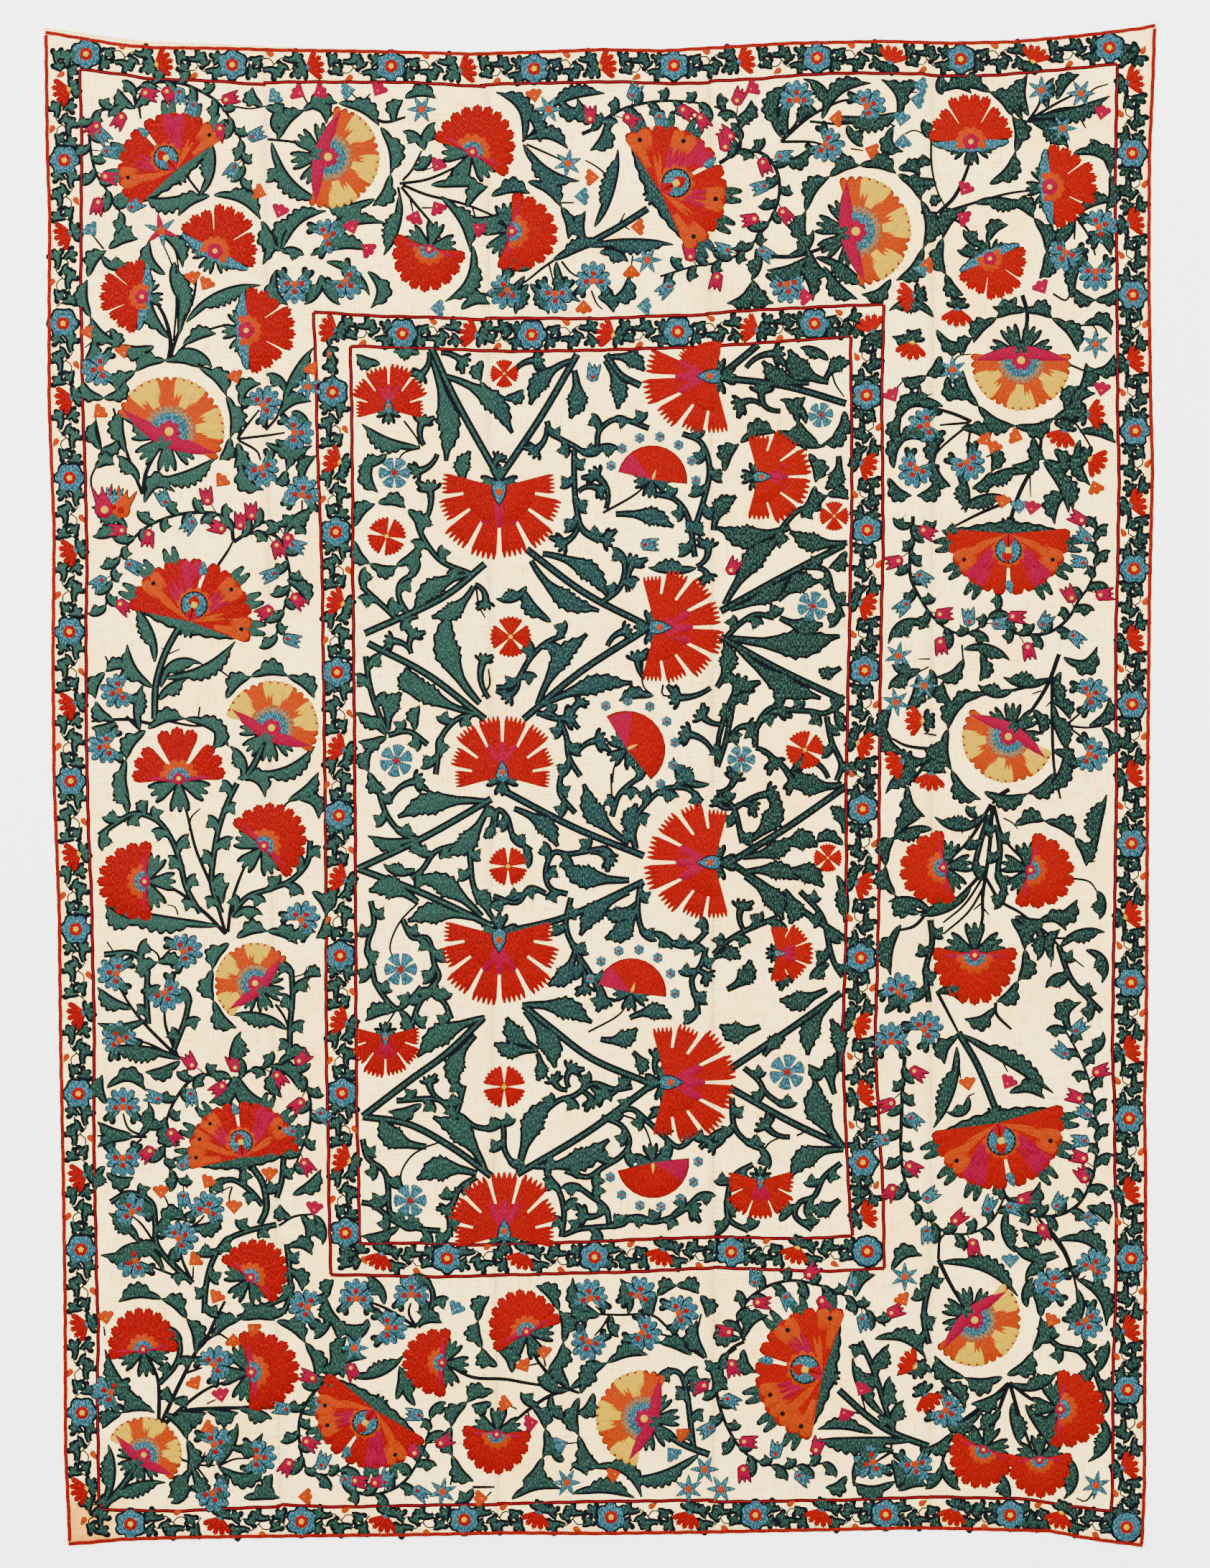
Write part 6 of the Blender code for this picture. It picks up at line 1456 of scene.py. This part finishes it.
FIELD_BRANCHES = (  # places
    (-20.5,33.5, -25,35.5, -28,39.5, -29,43), (0.5,29, 3,31, 4,34, 3.5,36.5),
    (-16.3,15.5, -13.5,16, -11,20, -8.5,22.5, -5.5,23.8), (-10,11.5, -7,11, -5.3,8, -4.8,4.5, -3,1.5),
    (-19,11.5, -22.5,10.5, -25,7.5, -25.5,4, -25.8,1.8), (20,23.5, 22,25.5, 24.5,27, 27.5,26.5),
    (18.5,3, 19.8,7, 20.8,12, 21.5,17), (24.5,6, 24.8,9.5, 26.5,12, 29,12.8),
    (-4,53, -4,49, -3.8,45, -3.3,42, -2.5,40, 0,38.5),
    (-8.3,57.5, -7.5,55.5, -4,53.5, -2,52.3, -0.5,53, 0,56, 3,57.8, 7.8,56.3),
    (13,55.5, 16,54, 17.3,50, 16.5,45.5, 14.8,40), (8.8,46, 12,45, 14,42, 15,36),
    (-16.5,-6.5, -16,-3.7, -14.5,-5, -13.5,-8, -10.7,-10.2),
    (-20.7,-8.7, -20.3,-12, -20,-15, -18.9,-18.6), (-22.3,-9.2, -25.8,-10.3, -27.8,-13, -29.7,-14.5),
    (-6.1,1.7, -6.2,-1.2, -3.8,-4.3), (1.9,-4.8, 3,-1.5, 5,0.5, 6.7,1.5),
    (5.7,-9.9, 5.3,-5.8, 8,-2, 10.5,-0.4, 13.8,-0.4, 16.2,-2.5),
    (-5,-17, -7.7,-16.1, -8.5,-13.5, -7.3,-10.5, -5,-10.7, -2.3,-10.3, 0.5,-9.9, 2.3,-11),
    (-8.4,-16.9, -11,-16, -13,-18.3, -16.8,-17.3), (-4.5,-17.5, -5.3,-22, -3.7,-26, -1.2,-30, 1,-35),
    (6.5,-15, 6,-19.5, 7,-23, 9.7,-23.3, 12,-25, 14.5,-25, 17,-22.7),
    (17.9,-26.5, 20,-24.5, 22.8,-22.8, 28,-20.6), (16.8,-25.3, 16,-28, 14.5,-30.5, 15.3,-34, 15.5,-36),
    (17.9,-1.8, 21,-3.3, 22.5,-9),
    (-31,-21, -29.5,-23.8, -27,-24, -26,-28, -25.3,-30, -26.8,-32, -28.5,-34.5, -29.5,-37.5),
    (-26.8,-32.5, -24.5,-34, -23.3,-36.7), (-32,-49.5, -25.5,-49.3, -22.8,-51.6, -21.3,-47),
    (-23.8,-53.6, -22.2,-51.8, -19.7,-53.5, -17,-54), (-19.3,-61.5, -22,-63.3, -23.5,-67, -23.5,-71),
    (-32,-68.5, -28.5,-69.6, -25,-70), (-16.8,-52.4, -15.2,-53.5, -15,-57, -13.9,-59.2),
    (-9,-51.5, -6.5,-49.5, -4,-48.7, -1,-46.8, 2.3,-47.7, 5.2,-47.3),
    (0.2,-52, 3.4,-53.4, 4.7,-56, 3.4,-58.2, 0.5,-60, -2,-61.5, -5.5,-60.5),
    (2.2,-51.6, 5,-50.8, 7.6,-52.8, 10,-55, 12.5,-56.8, 15.2,-54.7),
    (-6,-71, -5.6,-67, -6.5,-63.5, -8.5,-60.8),
    (-5.6,-70.6, -3.2,-69.7, -0.5,-69.4, 3.5,-69, 5,-67.8, 8.5,-68.6, 12.5,-67.2, 15.5,-64.5),
    (1.5,-68.8, 1,-66.4, -1.5,-64.4, -3.7,-62.8), (22.7,-44.3, 25,-46.3, 26.2,-48.3, 28.8,-50.3),
    (20.8,-49, 21.2,-53.6, 23.5,-56.2, 26,-57.3), (21,-54, 18.5,-54.5, 15.7,-57),
    (24.2,-59.5, 21.5,-61, 20.3,-63.6, 20.3,-68, 23.5,-70),
    (-28.5,26.8, -31.5,26.3, -34,28.3, -37.5,31.5), (-29.8,26.6, -31.5,29.5, -31.3,32, -29,33.5),
    (-33.4,8.5, -35,12, -36.2,16, -36.8,20.5), (-33.3,8, -30,8.6, -27,6.5),
    (-35,0, -33.5,-4.5, -31,-7.5, -28.5,-8.3),
    (-36,-18, -35.5,-21.5, -36.5,-25, -35.8,-28.5, -35,-31.5, -32,-35, -29.5,-33.3, -28,-31.5),
    (-37.3,-55.5, -36.5,-58.5, -34,-60.5, -33.3,-63, -33,-67, -31,-69),
    (-37.5,-65.5, -35.5,-66, -32.5,-68.3, -30,-69.5, -28,-69), (35,43.8, 31.5,43.5, 29,41, 27,38),
    (31.8,34.5, 35.5,34, 36.7,30.5, 38.3,26.5), (29,12, 33,11.8, 35.5,11.5, 38.5,13.2),
    (35.7,11, 36.5,7, 38,3.5, 37.3,0.8), (31.5,-16.5, 35,-20.5, 36.2,-25.5, 37,-28, 38.3,-30),
    (38,-59.3, 35.3,-61.5, 33.8,-64.5, 31.5,-65.5, 30.8,-67.7, 33.5,-69.8))
for places in FIELD_BRANCHES:
    branch(*places)
FIELD_RINGS = (  # middle, radius, then each leaf's first and last angle and its crest
    (26.8, 48.5, 7.2, (172, 132, 1.3), (130, 82, 1.4), (80, 36, 1.3), (32, -6, 1.2), (-10, -50, 1.1)),
    (-15, 65, 3.9, (150, 200, 0.8), (200, 260, 0.8), (270, 320, 0.8)), (-33.5, 39.5, 5.2,
    (165, 110, 1), (105, 55, 0.9), (50, 10, 0.8), (190, 240, 0.8), (240, 290, 0.9)),
    (-32.3, 49.3, 4, (140, 230, 1)), (-32, 3.8, 4.6, (150, 200, 1), (200, 250, 1)),
    (34.8, 58.4, 3.7, (200, 130, 0.8), (195, 255, 0.8), (10, -60, 0.9)),
    (37, 42.5, 3.4, (170, 110, 0.8), (110, 50, 0.8)), (35.9, -11.3, 3.1, (40, 130, 0.7)))
for sides in FIELD_RINGS:
    ring(*sides)
FIELD_SICKLES = (  # foot, tip, bend, crest
    (15.2,34.3, 7.6,34.4, 0.05,-1.1), (17.3,0.3, 11.6,4.6, 0.25,-1.4), (8.5,14.2, 3,13.4, -0.1,-0.8),
    (-11.5,31.5, -16.3,29.5, 0.2,-1), (-7.6,25.8, -12,31.3, 0.1,1), (-34.5,66.5, -38.3,68, 0.1,0.9),
    (-28.3,68, -32.5,68.3, -0.1,0.9), (-28.3,53.3, -37.4,57, 0.1,1.2),
    (-33.5,52.3, -38,50.3, 0.1,-0.9), (-32,34.7, -28.3,38, -0.1,-0.9), (-33.5,8, -38.6,11.5, -0.1,0.9),
    (-33.5,7.8, -38,7, 0.1,0.9), (-29,8.8, -28.3,12.7, 0.1,0.8), (-29,-8.3, -36.5,-7.8, 0.1,1),
    (-29,-13, -34,-12.2, 0.2,-0.9), (-32,-35.2, -36.9,-37, -0.1,-1.1),
    (-31.5,-35.3, -29.3,-39.3, 0.1,-0.9), (-28,-50, -33.3,-51.2, 0.1,1),
    (-31.5,-69.3, -37.5,-70.8, 0.1,0.8), (36,67, 31.5,69, -0.1,0.7), (32.5,57, 28.3,60.8, -0.2,0.9),
    (28.3,56, 35.5,53.5, -0.1,1.2), (38.3,57.5, 35,53.8, 0.2,0.9), (38.8,37, 36,34.3, 0.1,1),
    (38.6,8.6, 37.3,12.3, 0.1,-0.6), (37.3,-14, 38.4,-21.5, 0.1,-0.9), (36.2,-28, 33,-30.5, -0.1,1),
    (36.5,-44.8, 32.8,-43.7, 0.2,0.8), (28.3,-68.5, 31,-66.5, 0.1,0.6))
for leaf in FIELD_SICKLES:
    sickle(*leaf)
stem(0.2, 0.5, 43, 5, 45.5, 7.5, 47.5)
FIELD_STEMS = (  # places
    (2,0.5, 2.3,3, 3.5,5.3), (10,16, 10,14.3, 13,14.3, 16,14.8), (6.8,20, 6.8,16, 8.5,14.2),
    (-19.5,32, -19,28.5, -18,26.5), (-18.5,14, -17.3,16, -17.5,18.5), (1.8,2, 1.9,-1.5, 2,-4.9),
    (-1.8,-38.7, 3,-36, 5,-33), (2.8,-51.5, 6.5,-53, 8,-56, 8.5,-58.8),
    (-27.2,-56.7, -29.7,-58.3, -31.3,-61.3, -30.3,-64.5), (-27.2,-56.7, -25,-56),
    (25,-59.5, 26.5,-56.3, 29.3,-55), (-28.5,-18.3, -31.5,-21.5, -33,-25.5, -31.5,-28),
    (-32,-35.2, -33.7,-37.8), (36.3,66.5, 37,63.5, 38.5,61.2), (-30.8,57.5, -28.8,54.8, -28.3,53.3),
    (-28.2,53.2, -31,52.3, -32.2,49.6), (31,-55, 32.5,-54.3), (-35,-0.3, -34.3,0.8))
for places in FIELD_STEMS:
    stem(0.16, *places)
tulip_bud(7.8, 38, 0, "blue")
tulip_bud(21, 34.5, 60, "magenta")
tulip_bud(-1, 65, 80, "blue")
finish_group("field_leaves")


# --- Field: canes and flowers ----------------------------------------------------------------------
# Long green canes cross the middle field as a lattice, all in couched silk. Large red carnations of
# separate toothed petals stand where they meet, with half-disc tulips, four-petalled rosettes and blue
# wheels between them.
FIELD_LEFT, FIELD_BOTTOM, FIELD_RIGHT, FIELD_TOP = -38.4, -71.0, 38.8, 68.8     # cm, its guard line


def room(x, y, aim):
    """How far it is from a place to the guard line, in one direction."""
    ahead, up = away(0, 0, aim, 1)
    return min(((FIELD_RIGHT if ahead > 0 else FIELD_LEFT) - x) / ahead,
               ((FIELD_TOP if up > 0 else FIELD_BOTTOM) - y) / up)


def field_carnation(x, y, aim, reach, petals):
    """Separate red petals with toothed ends, the middle ones longest, round a blue teardrop eye. Petals
    that would cross the guard line end there."""
    calyx(*away(x, y, aim, -reach * 0.06), aim + 180, reach * 0.24, 3, 190)
    spread = 215
    share = spread / petals
    for number in range(petals):
        off = (number - (petals - 1) / 2) * share
        length = reach * (0.8 + 0.2 * np.cos(off * ANGLE)) * (1 + 0.03 * np.sin(number * 2.1 + x))
        length = min(length, room(x, y, aim + off + 0.1))
        outlined_fan("red", 0.55, x, y, aim + off, length, share - 5, teeth=5, nick=0.11, line=0.08,
                     edge="dark_red")
    sew_fan("red", 0.6, x, y, aim, reach * 0.5, spread - 8)
    sew_fan("magenta", 0.65, x, y, aim, reach * 0.56, 70, lobes=3, depth=0.4)
    foot = away(x, y, aim, -reach * 0.1)
    teardrop("outline", 0.8, *foot, aim, reach * 0.36, reach * 0.115)
    teardrop("blue", 0.9, *foot, aim, reach * 0.34, reach * 0.1)
    sew_fan("orange", 1.0, *away(*foot, aim, reach * 0.16), aim, reach * 0.06, 360, lobes=4, depth=0.3)


def half_disc_tulip(x, y, aim, reach):
    """A plain crimson half disc, with seven blue dots on an arc over it."""
    calyx(x, y, aim + 180, reach * 0.5, 3, 150)
    outlined_fan("red", 0.55, x, y, aim, reach, 172, line=0.1, edge="dark_red")
    sew_fan("magenta", 0.65, x, y, aim + 66, reach * 0.98, 38)
    teardrop("yellow", 0.75, x, y, aim - 10, reach * 0.32, reach * 0.06)
    for turn in range(-81, 82, 27):
        dot = away(x, y, aim + turn, reach * 1.27)
        outlined_fan("blue", 0.5, *dot, 0, 0.85, 360, line=0.05, lobes=6, depth=0.25)
        sew_fan("red", 0.7, *dot, 0, 0.28, 360)


def four_petals(x, y, turn, reach):
    """Four toothed red petals parted by a white cross, with a yellow middle."""
    for number in range(4):
        outlined_fan("red", 0.55, x, y, turn + 90 * number, reach, 72, teeth=6, nick=0.1, line=0.06,
                     edge="dark_red")
    sew_fan("yellow", 0.8, x, y, turn, reach * 0.13, 360)


def wheel(x, y, turn, reach):
    """Six blue wedges parted by white spokes round a red middle."""
    for number in range(6):
        outlined_fan("blue", 0.5, x, y, turn + 60 * number, reach, 46, lobes=1, depth=0.06, line=0.07)
    sew_fan("red", 0.75, x, y, turn, reach * 0.22, 360, lobes=6, depth=0.3)


CANE_HALF = 0.27            # cm, half the width of a cane
FIELD_CANES = (  # places
    (-26.5,69, -22.5,60.5, -15.8,48.5), (-3.5,68, -9,58.5, -15.5,48.8), (1,68, 3.2,64.8, 6.5,63),
    (18.5,64.3, 29,63, 38.8,60.2), (25,69.5, 22,67, 19.5,65), (-18,35, -25,29.5, -37,24),
    (-36.5,22.5, -27,17.5, -18,10.5), (-11.5,37.3, -2.5,30.5, 7,25.5), (7,24.5, -3,18, -12,10.5),
    (19,27.5, 28,32.5, 38.5,38), (19,23.5, 28,18.5, 38.5,13.5), (-15.5,-0.5, -4,-6.5, 7,-11),
    (-17,-2, -27.5,-8, -38,-13), (-38,-13, -27.5,-17, -17,-22), (7,-15, -5,-20.5, -15,-23),
    (20.5,-12, 29.5,-6.5, 38.8,0), (20.5,-12, 29.5,-18, 38.5,-24),
    (-37.3,-52, -30,-46.4, -24,-42, -18.3,-36.5), (-37.3,-52, -30,-53.2, -23,-57, -17,-61.4),
    (-13,-61.1, -2,-54.5, 8.2,-47), (-12,-34.5, -7.7,-38, -1,-43, 8,-46.8),
    (20.4,-44.6, 30,-38.2, 38,-32.5), (20.4,-47.4, 30,-52.8, 38.6,-56.8))
for places in FIELD_CANES:
    outlined_ribbon("leaf", 0.5, smooth_path(places, 1.0), CANE_HALF)
FIELD_CARNATIONS = (  # foot, direction, radius, petals
    (-33.2, 59.3, 90, 7.2, 6), (-15.8, 47, -90, 11.6, 8), (18, 64.5, 180, 11.2, 8),
    (25, 48.7, 0, 8.6, 6), (8.8, 25, 0, 10.8, 8), (-15.3, 1.6, 90, 9.8, 8), (18, -12, 180, 11, 8),
    (-15.8, -23.5, -90, 11.2, 8), (28, -26.3, 0, 5.6, 5), (-33.7, -39.3, -90, 6.6, 6),
    (10.5, -46.6, 0, 11.2, 8), (-15, -70.6, 90, 10.2, 7), (25.3, -62, -90, 6.4, 5))
for x, y, aim, reach, petals in FIELD_CARNATIONS:
    field_carnation(x, y, aim, reach, petals)
HALF_DISCS = (  # foot, direction, radius
    (8.3, 48.2, 80, 5.4), (4.3, 5.8, 35, 6.0), (5, -32.5, 80, 5.4), (8.4, -59.2, -80, 5.6))
for x, y, aim, reach in HALF_DISCS:
    half_disc_tulip(x, y, aim, reach)
FOUR_PETALS = (  # middle, direction, radius
    (-15,64.9, 0,2.3), (-33.5,39.3, 30,3.1), (36.9,42.5, 0,2.4), (-14,23.5, 0,3.3),
    (-14.4,-12.6, 45,3.1), (32.3,5.7, 20,3.1), (35.9,-11.3, 0,2.3), (-15,-47.3, 45,3.4))
for x, y, turn, reach in FOUR_PETALS:
    four_petals(x, y, turn, reach)
WHEELS = (  # middle, direction, radius
    (-32.3,49.3, 0,2.5), (34.8,58.4, 10,2), (-32,4, 20,2.6), (22.3,4.2, 0,2.2), (33.5,28.3, 15,2.4),
    (-31.3,-28.8, 0,2.6), (29.5,-45, 20,2.8), (-29.8,-65.2, 0,2.6))
for x, y, turn, reach in WHEELS:
    wheel(x, y, turn, reach)
finish_group("field_flowers")

# --- Floor, light and camera -----------------------------------------------------------------------
# A plain white floor, three large soft lights high above, and a camera straight over the cover. The
# camera's lens is long enough for its frame to be the picture's own height.
# Painted board: near white and matt, so that it shows no reflection of the lights.
floor_material, tree, shader = fresh_material("white_floor")
shader.inputs["Base Color"].default_value = linear("F7F7F5")
shader.inputs["Roughness"].default_value = 0.9
floor_mesh = bpy.data.meshes.new("floor")
FLOOR_HALF = 14.0           # metres
floor_mesh.from_pydata([(-FLOOR_HALF, -FLOOR_HALF, 0), (FLOOR_HALF, -FLOOR_HALF, 0),
                        (FLOOR_HALF, FLOOR_HALF, 0), (-FLOOR_HALF, FLOOR_HALF, 0)], [], [(0, 1, 2, 3)])
floor_mesh.materials.append(floor_material)
floor = bpy.data.objects.new("floor", floor_mesh)
bpy.context.scene.collection.objects.link(floor)

PIXEL = 0.00113             # metres on the cloth for one pixel of the picture
PICTURE_HEIGHT = 2184       # pixels
FRAME_HEIGHT = PICTURE_HEIGHT * PIXEL
CAMERA_HEIGHT = 6.0         # metres
VIEW_MIDDLE = (0.85, 0.34)  # cm, the place under the camera
camera_data = bpy.data.cameras.new("camera")
camera_data.sensor_width = 36.0
camera_data.lens = camera_data.sensor_width * CAMERA_HEIGHT / FRAME_HEIGHT
camera_data.clip_end = 60
camera = bpy.data.objects.new("camera", camera_data)
camera.location = ((VIEW_MIDDLE[0] - MIDDLE_X) * CM, (VIEW_MIDDLE[1] - MIDDLE_Y) * CM, CAMERA_HEIGHT)
bpy.context.scene.collection.objects.link(camera)
bpy.context.scene.camera = camera

for name, spot, size, power in (("light_left", (-4.0, 1.5, 4.6), 3.0, 650),
                                ("light_right", (4.2, 0.5, 4.8), 3.2, 416),
                                ("light_top", (0.0, 4.6, 4.8), 3.2, 416)):
    lamp = bpy.data.lights.new(name, "AREA")
    lamp.size, lamp.energy = size, power
    light = bpy.data.objects.new(name, lamp)
    light.location = spot
    light.rotation_mode = "QUATERNION"
    light.rotation_quaternion = (-light.location).to_track_quat("-Z", "Y")
    bpy.context.scene.collection.objects.link(light)
world = bpy.data.worlds.new("soft_daylight")
world.use_nodes = True
world.node_tree.nodes["Background"].inputs["Color"].default_value = (1, 1, 1, 1)
world.node_tree.nodes["Background"].inputs["Strength"].default_value = 2.6
bpy.context.scene.world = world
